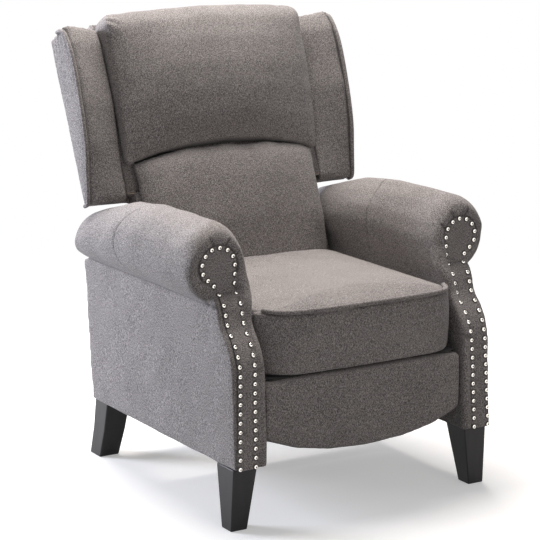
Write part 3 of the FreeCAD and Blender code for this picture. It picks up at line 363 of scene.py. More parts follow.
@dataclass
class Finishes:
    """The finishes that the chair needs, each built once."""

    cloth: Material = field(default_factory=lambda: HeatheredWeave().material())
    legs: Material = field(
        default_factory=lambda: GrainedWood(
            "espresso_stained_wood", "#0d0b0d", "#1a1719", (1.0, 1.0, 0.12), 0.45, 0.05
        ).material()
    )
    frame_wood: Material = field(
        default_factory=lambda: GrainedWood(
            "sawn_poplar", "#a9875a", "#d2b68a", (0.12, 0.4, 1.0), 0.75
        ).material()
    )
    nickel: Material = field(default_factory=lambda: NickelDome().material())
    steel: Material = field(
        # Its grey is partly the plating's own and partly painted shade, for the mechanism seen in the frame's gaps.
        default_factory=lambda: PlatedMetal("zinc_plated_steel", "#3e4042", "#63666a", 0.5).material()
    )
    webbing: Material = field(default_factory=lambda: ElasticWebbing().material())


def smooth_faces(mesh: bpy.types.Mesh) -> None:
    """Shade a mesh as one rounded surface."""
    for face in mesh.polygons:
        face.use_smooth = True


def placed(name: str, data: bpy.types.ID | None) -> Piece:
    """Make an object at the scene's origin.

    Args:
        name: Its name.
        data: Its mesh, curve, lamp or camera.

    Returns:
        The object.
    """
    thing = bpy.data.objects.new(name, data)
    bpy.context.scene.collection.objects.link(thing)
    return thing


def piece_from(name: str, build: Callable[[bmesh.types.BMesh], None]) -> Piece:
    """Make an object in the scene from a bmesh.

    Args:
        name: Name of the piece.
        build: Function that fills the bmesh, in metres.

    Returns:
        The new object, at the origin.
    """
    bm = bmesh.new()
    build(bm)
    mesh = bpy.data.meshes.new(name)
    bm.to_mesh(mesh)
    bm.free()
    smooth_faces(mesh)
    return placed(name, mesh)


def copied(name: str, *nodes: str) -> Piece:
    """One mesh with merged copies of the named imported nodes.

    Args:
        name: Name of the piece.
        *nodes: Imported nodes.

    Returns:
        The new object.
    """

    def build(bm: bmesh.types.BMesh) -> None:
        """Collect the nodes' meshes.

        Args:
            bm: Empty mesh, which takes them.
        """
        for node in nodes:
            bm.from_mesh(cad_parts[node].data)
        bmesh.ops.remove_doubles(bm, verts=bm.verts, dist=WELD)
        bmesh.ops.recalc_face_normals(bm, faces=bm.faces)

    return piece_from(name, build)


def baked(piece: Piece) -> bpy.types.Mesh:
    """The mesh that a piece's curve or modifiers give.

    Args:
        piece: Object in the scene.

    Returns:
        A new mesh, shaded round.
    """
    bpy.context.view_layer.update()
    graph = bpy.context.evaluated_depsgraph_get()
    mesh = bpy.data.meshes.new_from_object(piece.evaluated_get(graph))
    smooth_faces(mesh)
    return mesh


def settle(piece: Piece) -> None:
    """Keep the result of a piece's modifiers in its mesh.

    Args:
        piece: Object that carries them.
    """
    mesh = baked(piece)
    piece.modifiers.clear()
    piece.data = mesh


def swept(bm: bmesh.types.BMesh, line: Sequence[Sequence[float]], steps: Sequence[Sequence[float]]) -> None:
    """Sweep a line of places through a row of steps, as a sheet.

    Args:
        bm: Mesh that takes the sheet.
        line: Places in metres.
        steps: Vectors in metres, one for each move of the line.
    """
    verts = [bm.verts.new(spot) for spot in line]
    edges = [bm.edges.new(pair) for pair in zip(verts, verts[1:])]
    for move in steps:
        made = bmesh.ops.extrude_edge_only(bm, edges=edges)["geom"]
        edges = [g for g in made if isinstance(g, bmesh.types.BMEdge)]
        verts = [g for g in made if isinstance(g, bmesh.types.BMVert)]
        bmesh.ops.translate(bm, vec=move, verts=verts)


def remesh(piece: Piece, voxel: float) -> None:
    """Give a closed form an even skin.

    Args:
        piece: Closed form.
        voxel: Size of the skin's square faces.
    """
    modifier = piece.modifiers.new("skin", "REMESH")
    modifier.mode = "VOXEL"
    modifier.voxel_size = voxel
    settle(piece)


def relax(piece: Piece, rounds: int, fuller: float = 0.0) -> None:
    """Smooth a skin, so that its edges turn as padded fabric does.

    Args:
        piece: Closed skin.
        rounds: Number of passes, in each of which a point moves half way to its neighbours' middle.
        fuller: How far the skin then stands out again, in metres.
    """
    axes = {"use_axis_x": True, "use_axis_y": True, "use_axis_z": True}
    bm = bmesh.new()
    bm.from_mesh(piece.data)
    for _ in range(rounds):
        bmesh.ops.smooth_vert(bm, verts=bm.verts, factor=0.5, **axes)
    bm.to_mesh(piece.data)
    bm.free()
    if fuller:
        reshape(piece, lambda points, normals: points + normals * fuller)


def capped(moved: np.ndarray, cap: float) -> np.ndarray:
    """Shorten the moves that are longer than a cap.

    Args:
        moved: One move for each point.
        cap: Longest move.

    Returns:
        The moves.
    """
    length = np.linalg.norm(moved, axis=1)
    return moved * (np.minimum(length, cap) / np.maximum(length, TINY))[:, None]


def even_out(piece: Piece, rounds: int, cap: float = 0.0016) -> None:
    """Take the flats out of a rounded skin, and leave its edges.

    Args:
        piece: Closed skin.
        rounds: Number of smoothing passes.
        cap: Furthest that a point may move.
    """
    before, _ = read_points(piece)
    relax(piece, rounds)
    moved = capped(read_points(piece)[0] - before, cap)
    reshape(piece, lambda points, normals: before + moved)


def finer(piece: Piece) -> None:
    """Subdivide a skin once.

    Args:
        piece: Closed skin.
    """
    modifier = piece.modifiers.new("finer", "SUBSURF")
    modifier.levels = modifier.render_levels = 1
    settle(piece)


def read_points(piece: Piece) -> tuple[np.ndarray, np.ndarray]:
    """Read a mesh.

    Args:
        piece: Any mesh.

    Returns:
        Its points and its normals, a row for each.
    """
    count = len(piece.data.vertices)
    points = np.empty(count * 3)
    normals = np.empty(count * 3)
    piece.data.vertices.foreach_get("co", points)
    piece.data.vertices.foreach_get("normal", normals)
    return points.reshape(-1, 3), normals.reshape(-1, 3)


def reshape(piece: Piece, rule: Rule) -> None:
    """Move a mesh's points.

    Args:
        piece: Any mesh.
        rule: Function of points and normals that gives the new places.
    """
    points, normals = read_points(piece)
    piece.data.vertices.foreach_set("co", rule(points, normals).ravel())
    piece.data.update()


def mark(piece: Piece, name: str, values: np.ndarray) -> None:
    """Keep a value from 0 to 1 at each point, for a material to read.

    Args:
        piece: Finished mesh.
        name: Name of the attribute.
        values: One value for each point.
    """
    layer = piece.data.attributes.new(name, "FLOAT", "POINT")
    layer.data.foreach_set("value", np.clip(values, 0, 1).astype(np.float32))


def near(distance: np.ndarray, width: float) -> np.ndarray:
    """A smooth bump of 1 where a distance is 0, gone a few widths away."""
    return np.exp(-((distance / width) ** 2))


def step(value: np.ndarray, start: float, end: float) -> np.ndarray:
    """A smooth step from 0 at start to 1 at end."""
    share = np.clip((value - start) / (end - start), 0, 1)
    return share * share * (3 - 2 * share)


def ramped(value: float, start: float, end: float) -> float:
    """A straight ramp from 0 at start to 1 at end."""
    return min(max((value - start) / (end - start), 0), 1)


def beside(points: np.ndarray, route: Sequence[Sequence[float]]) -> np.ndarray:
    """Distance of points in metres from a line through places in millimetres.

    Args:
        points: Places in metres.
        route: Corners of the line in millimetres.

    Returns:
        One distance in metres for each place.
    """
    corners = np.array(route) * MM
    least = np.full(len(points), np.inf)
    for start, end in zip(corners, corners[1:]):
        run = end - start
        share = np.clip((points - start) @ run / max(run @ run, 1e-12), 0, 1)
        least = np.minimum(least, np.linalg.norm(points - start - share[:, None] * run, axis=1))
    return least


def waves(points: np.ndarray, length: float, seed: int) -> np.ndarray:
    """Uneven waves over a surface, between about -1 and 1.

    Args:
        points: Places in metres.
        length: Usual distance between crests.
        seed: Number that picks the pattern.

    Returns:
        One value for each place.
    """
    source = np.random.default_rng(seed)
    total = np.zeros(len(points))
    for _ in range(7):
        way = source.normal(size=3)
        way *= 2 * math.pi / length / np.linalg.norm(way) * source.uniform(0.6, 1.5)
        total += np.sin(points @ way + source.uniform(0, 6.28))
    return total / 3


def puff(piece: Piece, cap: float, pressure: float = 4.0, frames: int = 20) -> None:
    """Fill a padded form with air through a short cloth simulation.

    Args:
        piece: Closed skin.
        cap: Furthest that a point may move.
        pressure: Air pressure of the simulation.
        frames: Its length.
    """
    before, facing = read_points(piece)
    cloth = piece.modifiers.new("air", "CLOTH")
    cloth.settings.quality = 4
    cloth.settings.mass = 0.3
    cloth.settings.use_pressure = True
    cloth.settings.uniform_pressure_force = pressure
    cloth.settings.effector_weights.gravity = 0
    cloth.collision_settings.use_collision = False
    cloth.point_cache.frame_start = 1
    cloth.point_cache.frame_end = frames
    for number in range(1, frames + 1):
        bpy.context.scene.frame_set(number)
    settle(piece)
    bpy.context.scene.frame_set(1)
    moved = read_points(piece)[0] - before
    outward = np.einsum("ij,ij->i", moved, facing)
    moved -= facing * (np.minimum(outward, 0) * 0.9)[:, None]  # a point hardly goes inwards
    moved = capped(moved, cap)
    reshape(piece, lambda points, normals: before + moved)


def dress(
    piece: Piece,
    body: str,
    material: Material,
    nodes: Sequence[str] = (),
) -> Piece:
    """Give a piece its finish and its place in the moving frame.

    Args:
        piece: Finished mesh.
        body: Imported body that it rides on.
        material: Finish.
        nodes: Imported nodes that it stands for.

    Returns:
        The same piece.
    """
    piece.data.materials.clear()
    piece.data.materials.append(material)
    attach(piece, body)
    if nodes:
        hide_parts(*nodes)
    LOG.info("%s: %d faces on %s", piece.name, len(piece.data.polygons), body)
    return piece


def piping(name: str, spots: Sequence[Sequence[float]], radius: float, thick: Sequence[float] = ()) -> Piece:
    """A fabric-covered cord along a smooth line.

    Args:
        name: Name of the piece.
        spots: Control points of its centre line, in millimetres.
        radius: Radius of the cord.
        thick: Share of that radius at each point, or nothing for an even cord.

    Returns:
        The cord as a mesh.
    """
    curve = bpy.data.curves.new(name, "CURVE")
    curve.dimensions = "3D"
    curve.bevel_depth = radius
    curve.bevel_resolution = 4
    curve.use_fill_caps = True
    spline = curve.splines.new("NURBS")
    spline.points.add(len(spots) - 1)
    for number, (point, spot) in enumerate(zip(spline.points, spots)):
        point.co = (*(c * MM for c in spot), 1)
        point.radius = thick[number] if thick else 1
    spline.order_u = 3
    spline.use_endpoint_u = True
    spline.resolution_u = 8
    line = placed(name, curve)
    mesh = baked(line)
    bpy.data.objects.remove(line)
    return placed(name, mesh)


@dataclass
class LeaningBack:
    """The frame that leans with the chair's back: across, out of the back and up along it."""

    foot: tuple[float, float] = (0.2318, 0.590)  # y and z of its origin
    tilt: float = 23.75  # degrees

    def turned(self) -> tuple[float, float]:
        """Cosine and sine of the tilt."""
        return math.cos(math.radians(self.tilt)), math.sin(math.radians(self.tilt))

    def place(self, across: float, out: float, along: float) -> tuple[float, float, float]:
        """A point of the leaning frame in the chair's own frame, both in millimetres.

        Args:
            across: Towards the sitter's left.
            out: Out of the back, towards the sitter.
            along: Up along the back.

        Returns:
            The place.
        """
        c, s = self.turned()
        return (across, self.foot[0] / MM - c * out + s * along, self.foot[1] / MM + s * out + c * along)

    def read(self, points: np.ndarray) -> tuple[np.ndarray, np.ndarray, np.ndarray]:
        """Places of the chair's own frame in the leaning frame, both in metres.

        Args:
            points: Places.

        Returns:
            Across, out and along for each of them.
        """
        c, s = self.turned()
        y = points[:, 1] - self.foot[0]
        z = points[:, 2] - self.foot[1]
        return points[:, 0], -c * y + s * z, s * y + c * z

    def outward(self) -> np.ndarray:
        """Direction out of the back towards the sitter."""
        c, s = self.turned()
        return np.array([0.0, -c, s])

    def upward(self) -> np.ndarray:
        """Direction up along the back."""
        c, s = self.turned()
        return np.array([0.0, s, c])


@dataclass
class RolledArm:
    """One arm: its fabric cover, the nailed keyhole facing and the nails."""

    side: Side
    finishes: Finishes
    scroll: tuple[float, float] = (0.304, 0.543)  # the scroll's centre, across and up
    skin: float = 0.0035
    fuller: float = 0.0015
    sectors: int = 36  # round the scroll, each with its own radius of the roll
    gauge: tuple[float, float, float] = (-0.19, 0.02, 0.49)  # the radius is read here: y, half width, least z
    rim_front: float = -0.301
    rim_start: float = 0.052  # radius where the rim begins to turn back
    rim_depth: float = 0.055
    rim_neck: tuple[float, float] = (-0.062, -0.040)  # the rim fades out here, towards the neck
    rim_tail: tuple[float, float, float] = (180, 212, 320)  # degrees: the outer neck keeps its square edge
    pleats: tuple[float, ...] = (26, 68, 104)  # degrees round the scroll
    pleat_twist: float = 280  # degrees for each metre of radius
    pleat_ring: tuple[float, float, float, float] = (0.045, 0.047, 0.058, 0.066)
    pleat_depth: float = 0.0032
    facing_edge: float = 0.0445
    under_roll: tuple[float, float] = (0.322, 0.4625)  # the crease between roll and outer panel
    joined: tuple[float, float] = (-0.035, 0.073)  # y of the seam over the roll, and how far it bows back
    hem: tuple[float, float, float] = (0.338, 0.45, 0.2715)  # line across the front: z, slope and x
    bead_radius: float = 0.0125
    bead_line: tuple[float, float] = (257.0, 10.5)  # mm: the bead's x beside the nails, and how far it leans in
    bead_reach: float = 0.0555  # from the scroll's centre
    dome: float = 0.0051
    dome_flat: float = 0.58  # height of a dome over its radius

    def node(self, part: str) -> str:
        """Packed name of a part on this side."""
        return f"{self.side.word}_{part}"

    def round_rim(self, points: np.ndarray) -> np.ndarray:
        """Turn the roll's square front edge into a full quarter round.

        Args:
            points: Places on the skin.

        Returns:
            The new places.
        """
        moved = points.copy()
        across = points[:, 0] * self.side.value - self.scroll[0]
        rise = points[:, 2] - self.scroll[1]
        around = np.hypot(across, rise)
        turn = np.degrees(np.arctan2(rise, -across)) % 360
        middle, half, least = self.gauge
        behind = (np.abs(points[:, 1] - middle) < half) & (points[:, 2] > least)
        width = 360 // self.sectors
        sector = (turn // width).astype(int)
        edge = np.array(
            [np.max(around[behind & (sector == n)], initial=0.05) for n in range(self.sectors)]
        )
        turns = np.arange(-1, self.sectors + 1)
        full = np.interp(turn, turns * width + width / 2, edge[turns % self.sectors])
        deep = self.rim_depth * (0.55 + 0.45 * step(rise, -0.01, 0.05))
        ring = np.clip((around - self.rim_start) / (full - self.rim_start), 0, None)
        ahead = np.clip((self.rim_front + deep - points[:, 1]) / deep, 0, None)
        past = np.maximum(np.hypot(ring, ahead), 1)
        share = (1 - 1 / past) * step(rise + 0.6 * across, *self.rim_neck) * (ring > 0) * (ahead > 0)
        share *= 1 - step(turn, *self.rim_tail[:2]) * (turn < self.rim_tail[2])
        moved[:, 1] += share * ahead * deep
        pull = share * ring * (full - self.rim_start) / np.maximum(around, 1e-6)
        moved[:, 0] -= self.side.value * across * pull
        moved[:, 2] -= rise * pull
        return moved

    def pleat(self, moved: np.ndarray, normals: np.ndarray) -> np.ndarray:
        """Fold the pleats into the scroll's rim.

        Args:
            moved: Places on the skin, which this changes.
            normals: Their normals.

        Returns:
            How much of each place is darkened: painted shade in the fold of each pleat, and the stitched line at the
                facing's edge.
        """
        inward = moved[:, 0] * self.side.value - self.scroll[0]
        up = moved[:, 2] - self.scroll[1]
        radius = np.hypot(inward, up)
        angle = np.degrees(np.arctan2(up, -inward)) % 360
        begin, full, fade, end = self.pleat_ring
        rim = step(radius, begin, full) * (1 - step(radius, fade, end)) * (1 - step(moved[:, 1], -0.285, -0.27))
        sewn_and_shaded = np.zeros(len(moved))
        for number, pleat in enumerate(self.pleats):
            bend = self.pleat_twist * (radius - 0.046) * (-1) ** number
            apart = np.radians((angle - pleat - bend + 180) % 360 - 180) * radius
            fold = near(apart, 0.0028) * rim
            swell = near(apart - 0.006, 0.005) * rim
            moved -= normals * (self.pleat_depth * fold - 0.0010 * swell)[:, None]
            # Painted shade: a dark line in the fold of each pleat.
            sewn_and_shaded = np.maximum(sewn_and_shaded, 0.9 * near(apart, 0.0016) * rim)
        edge = near(radius - self.facing_edge, 0.0025) * step(moved[:, 2], 0.50, 0.52) * (moved[:, 1] < -0.284)
        return np.maximum(sewn_and_shaded, 0.8 * edge)

    def seams(self, moved: np.ndarray, normals: np.ndarray, sewn_and_shaded: np.ndarray) -> np.ndarray:
        """Press in the crease under the roll, the seam over it and the hem across the front.

        Args:
            moved: Places on the skin, which this changes.
            normals: Their normals.
            sewn_and_shaded: How much of each place is darkened so far, by stitched lines and by painted shade in the
                pleats' folds.

        Returns:
            The same with these lines, and with painted shade in the crease under the roll.
        """
        x = moved[:, 0] * self.side.value
        y, z = moved[:, 1], moved[:, 2]
        crease = near(np.hypot(x - self.under_roll[0], z - self.under_roll[1]), 0.007) * step(y, -0.30, -0.28)
        moved[:, 0] -= self.side.value * 0.007 * crease
        # Painted shade: a dark line in the crease under the roll.
        tuck = near(np.hypot(x - self.under_roll[0], z - self.under_roll[1]), 0.004)
        sewn_and_shaded = np.maximum(sewn_and_shaded, 0.8 * tuck)
        outer = step(x - self.scroll[0], -0.05, 0.03)
        front, bow = self.joined
        line = front + bow * outer * (1 - (np.clip((z - 0.545) / 0.10, -1, 1)) ** 2)
        seam = near(y - line, 0.0024) * step(z, 0.462, 0.470)
        moved -= normals * (0.0016 * seam)[:, None]
        sewn_and_shaded = np.maximum(sewn_and_shaded, 0.75 * near(y - line, 0.0014) * step(z, 0.462, 0.470))
        level, slope, inner = self.hem
        hem = near(z - (level + slope * (inner - x)), 0.0022) * (1 - step(x, 0.270, 0.273))
        hem *= step(-normals[:, 1], 0.2, 0.6)
        moved -= normals * (0.0018 * hem)[:, None]
        return np.maximum(sewn_and_shaded, 0.6 * hem)

    def pad_front(self, piece: Piece) -> None:
        """Add the padded strip beside the inner nails, which goes on over the scroll.

        Args:
            piece: Copy of the arm's panels, which takes it.
        """
        line = [seat for seat, _ in self.nail_spots() if abs(seat.x) < 0.276 and seat.z < 0.5]
        line.sort(key=lambda seat: seat.z)
        x, lean = self.bead_line
        set_back = 3.5  # mm behind the nails' seats
        spots = [(self.side.value * x, line[0].y / MM + set_back, 137.0)]
        thick = [0.7]
        for seat in line:
            share = ramped(seat.z, 0.44, 0.49)
            spots.append((self.side.value * (x - lean * share), seat.y / MM + set_back - 2 * share, seat.z / MM))
            thick.append(0.75 + 0.5 * share)
        for angle in range(-20, 205, 12):
            lower = ramped(-angle, -20, 20)
            tail = ramped(angle, 150, 198)
            reach = self.bead_reach + 0.002 * lower
            out = self.scroll[0] - reach * math.cos(math.radians(angle))
            up = self.scroll[1] + reach * math.sin(math.radians(angle))
            spots.append((self.side.value * out / MM, -288.0 + 6 * tail, up / MM))
            thick.append(1.0 + 0.2 * lower - 0.45 * tail)
        bead = piping("padding", spots, self.bead_radius, thick)
        bm = bmesh.new()
        bm.from_mesh(piece.data)
        bm.from_mesh(bead.data)
        bm.to_mesh(piece.data)
        bm.free()
        bpy.data.objects.remove(bead)

    def cover(self) -> Piece:
        """The roll, the front and both side panels under one fabric skin.

        Returns:
            The cover.
        """
        nodes = [self.node(n) for n in ("arm_pad", "arm_outer_panel", "arm_inner_panel", "arm_front_board")]
        piece = copied(self.node("arm_cover"), *nodes)
        self.pad_front(piece)
        remesh(piece, self.skin)
        relax(piece, 4, self.fuller)
        even_out(piece, 26)
        points, normals = read_points(piece)
        moved = self.round_rim(points)
        sewn_and_shaded = self.pleat(moved, normals)
        sewn_and_shaded = self.seams(moved, normals, sewn_and_shaded)
        moved += normals * (0.0007 * waves(points, 0.09, 11 + self.side.value))[:, None]
        reshape(piece, lambda points, normals: moved)
        mark(piece, "seam", sewn_and_shaded)
        return dress(piece, "base", self.finishes.cloth, nodes)

    def facing(self) -> Piece:
        """The keyhole panel that the nails hold, a little padded between them.

        Returns:
            The panel.
        """
        node = self.node("arm_front_panel")
        piece = copied(self.node("arm_facing"), node)
        remesh(piece, 0.0022)
        relax(piece, 2)
        places, normals = read_points(piece)
        spots = np.array([np.array(seat) for seat, _ in self.nail_spots()])
        apart = np.min(np.linalg.norm(places[:, None, :] - spots[None, :, :], axis=2), axis=1)
        front = step(-normals[:, 1], 0.25, 0.75)
        dimple = -0.0012 * near(apart, 0.006) * front
        reshape(piece, lambda points, normals: points + normals * dimple[:, None])
        # Painted shade: a dark ring round each nail, where it presses into the padded cloth.
        ring = 0.75 * (1 - step(apart, 0.0056, 0.0078)) * front
        mark(piece, "seam", np.maximum(ring, 0.8 * (1 - front)))
        return dress(piece, "base", self.finishes.cloth, [node])

    def nail_spots(self) -> list[tuple[Vector, Vector]]:
        """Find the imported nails, one group of joined vertices each.

        Returns:
            The seat and the outward direction of each nail.
        """
        source = bmesh.new()
        source.from_mesh(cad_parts[self.node("nailheads")].data)
        bmesh.ops.remove_doubles(source, verts=source.verts, dist=WELD)
        left = set(source.verts)
        found = []
        while left:
            group = {left.pop()}
            edge = list(group)
            while edge:
                for link in edge.pop().link_edges:
                    fresh = set(link.verts) & left
                    left -= fresh
                    group |= fresh
                    edge.extend(fresh)
            tip = max(group, key=lambda v: len(v.link_edges))
            ring = [v.co for v in group if v is not tip]
            seat = sum(ring, Vector()) / len(ring)
            found.append((seat, (tip.co - seat).normalized()))
        source.free()
        return sorted(found, key=lambda pair: tuple(pair[0]))

    def nails(self) -> Piece:
        """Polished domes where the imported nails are.

        Returns:
            All of this arm's nails as one piece.
        """
        node = self.node("nailheads")

        def build(bm: bmesh.types.BMesh) -> None:
            """Set one dome on each packed nail.

            Args:
                bm: Empty mesh, which takes them.
            """
            for seat, way in self.nail_spots():
                turn = Vector((0, 0, 1)).rotation_difference(way).to_matrix().to_4x4()
                made = bmesh.ops.create_uvsphere(bm, u_segments=14, v_segments=10, radius=self.dome)
                faces = list({f for v in made["verts"] for f in v.link_faces})
                everything = made["verts"] + list({e for f in faces for e in f.edges}) + faces
                cut = bmesh.ops.bisect_plane(
                    bm, geom=everything, plane_co=(0, 0, 0.0001), plane_no=(0, 0, 1), clear_inner=True
                )
                kept = [g for g in cut["geom"] if isinstance(g, bmesh.types.BMVert) and g.is_valid]
                bmesh.ops.scale(bm, vec=(1, 1, self.dome_flat), verts=kept)
                bmesh.ops.transform(bm, matrix=Matrix.Translation(seat) @ turn, verts=kept)

        piece = piece_from(self.node("nail_domes"), build)
        points, _ = read_points(piece)
        seats = np.array([np.array(seat) for seat, _ in self.nail_spots()])
        ways = np.array([np.array(way) for _, way in self.nail_spots()])
        own = np.argmin(np.linalg.norm(points[:, None, :] - seats[None, :, :], axis=2), axis=1)
        arm = points - seats[own]
        arm -= ways[own] * np.einsum("ij,ij->i", arm, ways[own])[:, None]
        mark(piece, "reach", np.linalg.norm(arm, axis=1) / self.dome)
        return dress(piece, "base", self.finishes.nickel, [node])

    def build(self) -> None:
        """Make the whole arm."""
        self.cover()
        self.facing()
        self.nails()


@dataclass
class Seat:
    """The seat cushion, the padded band below its piping, and the piping."""

    finishes: Finishes
    half: float = 244.0  # mm: half of the seat's width
    front: float = -397.0  # mm: y of the piping
    welt_level: float = 451.0  # mm
    welt_radius: float = 0.0055
    seam_width: float = 0.0082
    boxing: tuple[float, float] = (0.392, 0.060)  # the cushion's front wall: lower edge and height
    roof: float = 0.4525  # the cushion's top beside its piping
    beside_arm: tuple[float, float, float] = (0.447, 0.030, 0.231)  # top at the arm, its rise, and x there
    corner: tuple[float, float] = (0.160, 0.0655)  # where the band's corner starts, and how deep it goes
    rail_corner: tuple[float, float] = (0.205, 0.018)

    def route(self) -> list[tuple[float, float, float]]:
        """The line of the piping between cushion and band.

        Returns:
            Its control points in millimetres, from the sitter's right to left.
        """
        half, front = self.half, self.front
        ahead = [
            (60, front - 4),
            (half - 104, front - 2),
            (half - 54, front + 6),
            (half - 32, front + 23),
            (half - 20, front + 44),
            (half - 17, front + 54),
        ]
        return [(-x, y, self.welt_level) for x, y in reversed(ahead)] + [(x, y, self.welt_level) for x, y in ahead]

    def cushion(self) -> Piece:
        """The crowned seat cushion.

        Returns:
            The cushion.
        """
        piece = copied("seat_pad", "seat_cushion")
        wall, height = self.boxing
        bm = bmesh.new()
        bm.from_mesh(piece.data)
        outline = [(x * MM, y * MM + 0.005, wall) for x, y, _ in self.route()]
        rear = [bm.verts.new(spot) for spot in (*outline, (0.24, 0.0, wall), (-0.24, 0.0, wall))]
        box = bmesh.ops.extrude_face_region(bm, geom=[bm.faces.new(rear)])["geom"]
        bmesh.ops.translate(bm, vec=(0, 0, height), verts=[g for g in box if isinstance(g, bmesh.types.BMVert)])
        bmesh.ops.recalc_face_normals(bm, faces=bm.faces)
        bm.to_mesh(piece.data)
        bm.free()
        remesh(piece, 0.006)
        relax(piece, 3, 0.0015)
        puff(piece, 0.007)
        even_out(piece, 14)
        finer(piece)
        low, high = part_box("seat_cushion")

        def rule(points: np.ndarray, normals: np.ndarray) -> np.ndarray:
            """Keep the cushion between the arms and above its deck, and let its top settle a little.

            Args:
                points: Places on the skin.
                normals: Their normals.

            Returns:
                The new places.
            """
            moved = points + normals * (0.0012 * waves(points, 0.13, 3))[:, None]
            edge = beside(points * np.array([1, 1, 0]), [(x, y, 0) for x, y, _ in self.route()])
            thick = 0.020 - 0.010 * step(np.abs(points[:, 0]), 0.15, 0.23)
            roof = self.roof + thick * (1 - np.exp(-edge / 0.022)) + 0.30 * np.maximum(edge - 0.02, 0)
            settled = high.z + 0.003 - 0.008 * step(points[:, 1], -0.22, 0.02)
            level, rise, arm = self.beside_arm
            inside = arm - np.abs(moved[:, 0])
            slope = level + rise * (1 - np.exp(-np.maximum(inside, 0) / 0.085)) + 1.8 * np.minimum(inside, 0)
            moved[:, 2] = np.minimum(moved[:, 2], np.minimum(np.minimum(roof, settled), slope))
            half = high.x - 0.005 * step(moved[:, 2], 0.40, 0.43)
            moved[:, 0] = np.clip(moved[:, 0], -half, half)
            moved[:, 1] = np.clip(moved[:, 1], low.y - 0.010, high.y)
            moved[:, 2] = np.maximum(moved[:, 2], low.z)
            return moved

        reshape(piece, rule)
        self.mark_seam(piece)
        return dress(piece, "seat", self.finishes.cloth, ["seat_cushion"])

    def mark_seam(self, piece: Piece) -> None:
        """Darken a piece along the piping."""
        mark(piece, "seam", near(beside(read_points(piece)[0], self.route()), self.seam_width))

    def band(self) -> Piece:
        """The upright band in front of the cushion.

        Returns:
            The band.
        """
        piece = copied("seat_band", "seat_front_band")
        remesh(piece, 0.004)
        relax(piece, 2, 0.0012)

        def rule(points: np.ndarray, normals: np.ndarray) -> np.ndarray:
            """Fill the band's face and let it ripple from top to bottom.

            Args:
                points: Places on the skin.
                normals: Their normals.

            Returns:
                The new places.
            """
            face = step(-normals[:, 1], 0.1, 0.6)
            full = face * (1 - ((points[:, 2] - 0.382) / 0.066) ** 2)
            ripple = waves(points * np.array([1, 1, 0.25]), 0.05, 8)
            return points + normals * (0.004 * np.maximum(full, 0) + 0.0006 * ripple * face)[:, None]

        reshape(piece, rule)
        self.mark_seam(piece)
        return dress(piece, "seat", self.finishes.cloth, ["seat_front_band"])

    def welt(self) -> Piece:
        """The piping between cushion and band."""
        piece = piping("seat_piping", self.route(), self.welt_radius)
        return dress(piece, "seat", self.finishes.cloth, ["seat_welt"])

    def dust_cover(self) -> Piece:
        """The dark cloth that closes the seat's frame from the band back, above the footrest.

        Returns:
            The cloth.
        """

        def build(bm: bmesh.types.BMesh) -> None:
            """A strip that follows the band's corners, and a flat one under the rail.

            Args:
                bm: Empty mesh, which takes them.
            """
            lip = [(-0.382, 0.330), (-0.379, 0.3134)]
            under = [(-0.3790, 0.3132), (-0.34, 0.3132), (-0.30, 0.3132)]
            stops = np.linspace(-0.2425, 0.2425, 31)
            for line, (start, depth) in ((lip, self.corner), (under, self.rail_corner)):
                turn = np.clip((np.abs(stops) - start) / (0.244 - start), 0, 1)
                recess = depth * (1 - np.sqrt(1 - turn**2))
                moves = [(x, y, 0) for x, y in zip(np.diff(stops), np.diff(recess))]
                swept(bm, [(stops[0], y + recess[0], z) for y, z in line], moves)
            bmesh.ops.recalc_face_normals(bm, faces=bm.faces)
            bmesh.ops.solidify(bm, geom=list(bm.faces), thickness=0.0008)

        piece = piece_from("seat_dust_cover", build)
        return dress(piece, "seat", self.finishes.webbing)

    def build(self) -> None:
        """Make the seat's soft parts."""
        self.dust_cover()
        self.cushion()
        self.band()
        self.welt()


@dataclass
class Footrest:
    """The padded footrest."""

    finishes: Finishes
    crown: float = 0.001
    ripple: float = 0.0006

    def build(self) -> None:
        """The pad with its crowned face, and the fabric over the board's back."""
        nodes = ["footrest_pad", "footrest_board"]
        piece = copied("footrest_cover", *nodes)
        remesh(piece, 0.004)
        relax(piece, 4, 0.001)

        def rule(points: np.ndarray, normals: np.ndarray) -> np.ndarray:
            """Fill the pad's face.

            Args:
                points: Places on the skin.
                normals: Their normals.

            Returns:
                The new places.
            """
            face = step(-normals[:, 1], 0.3, 0.8)
            ripple = waves(points * np.array([1, 1, 0.3]), 0.06, 21)
            return points + normals * (self.ripple * ripple * face + self.crown * face)[:, None]

        reshape(piece, rule)
        dress(piece, "footrest", self.finishes.cloth, nodes)


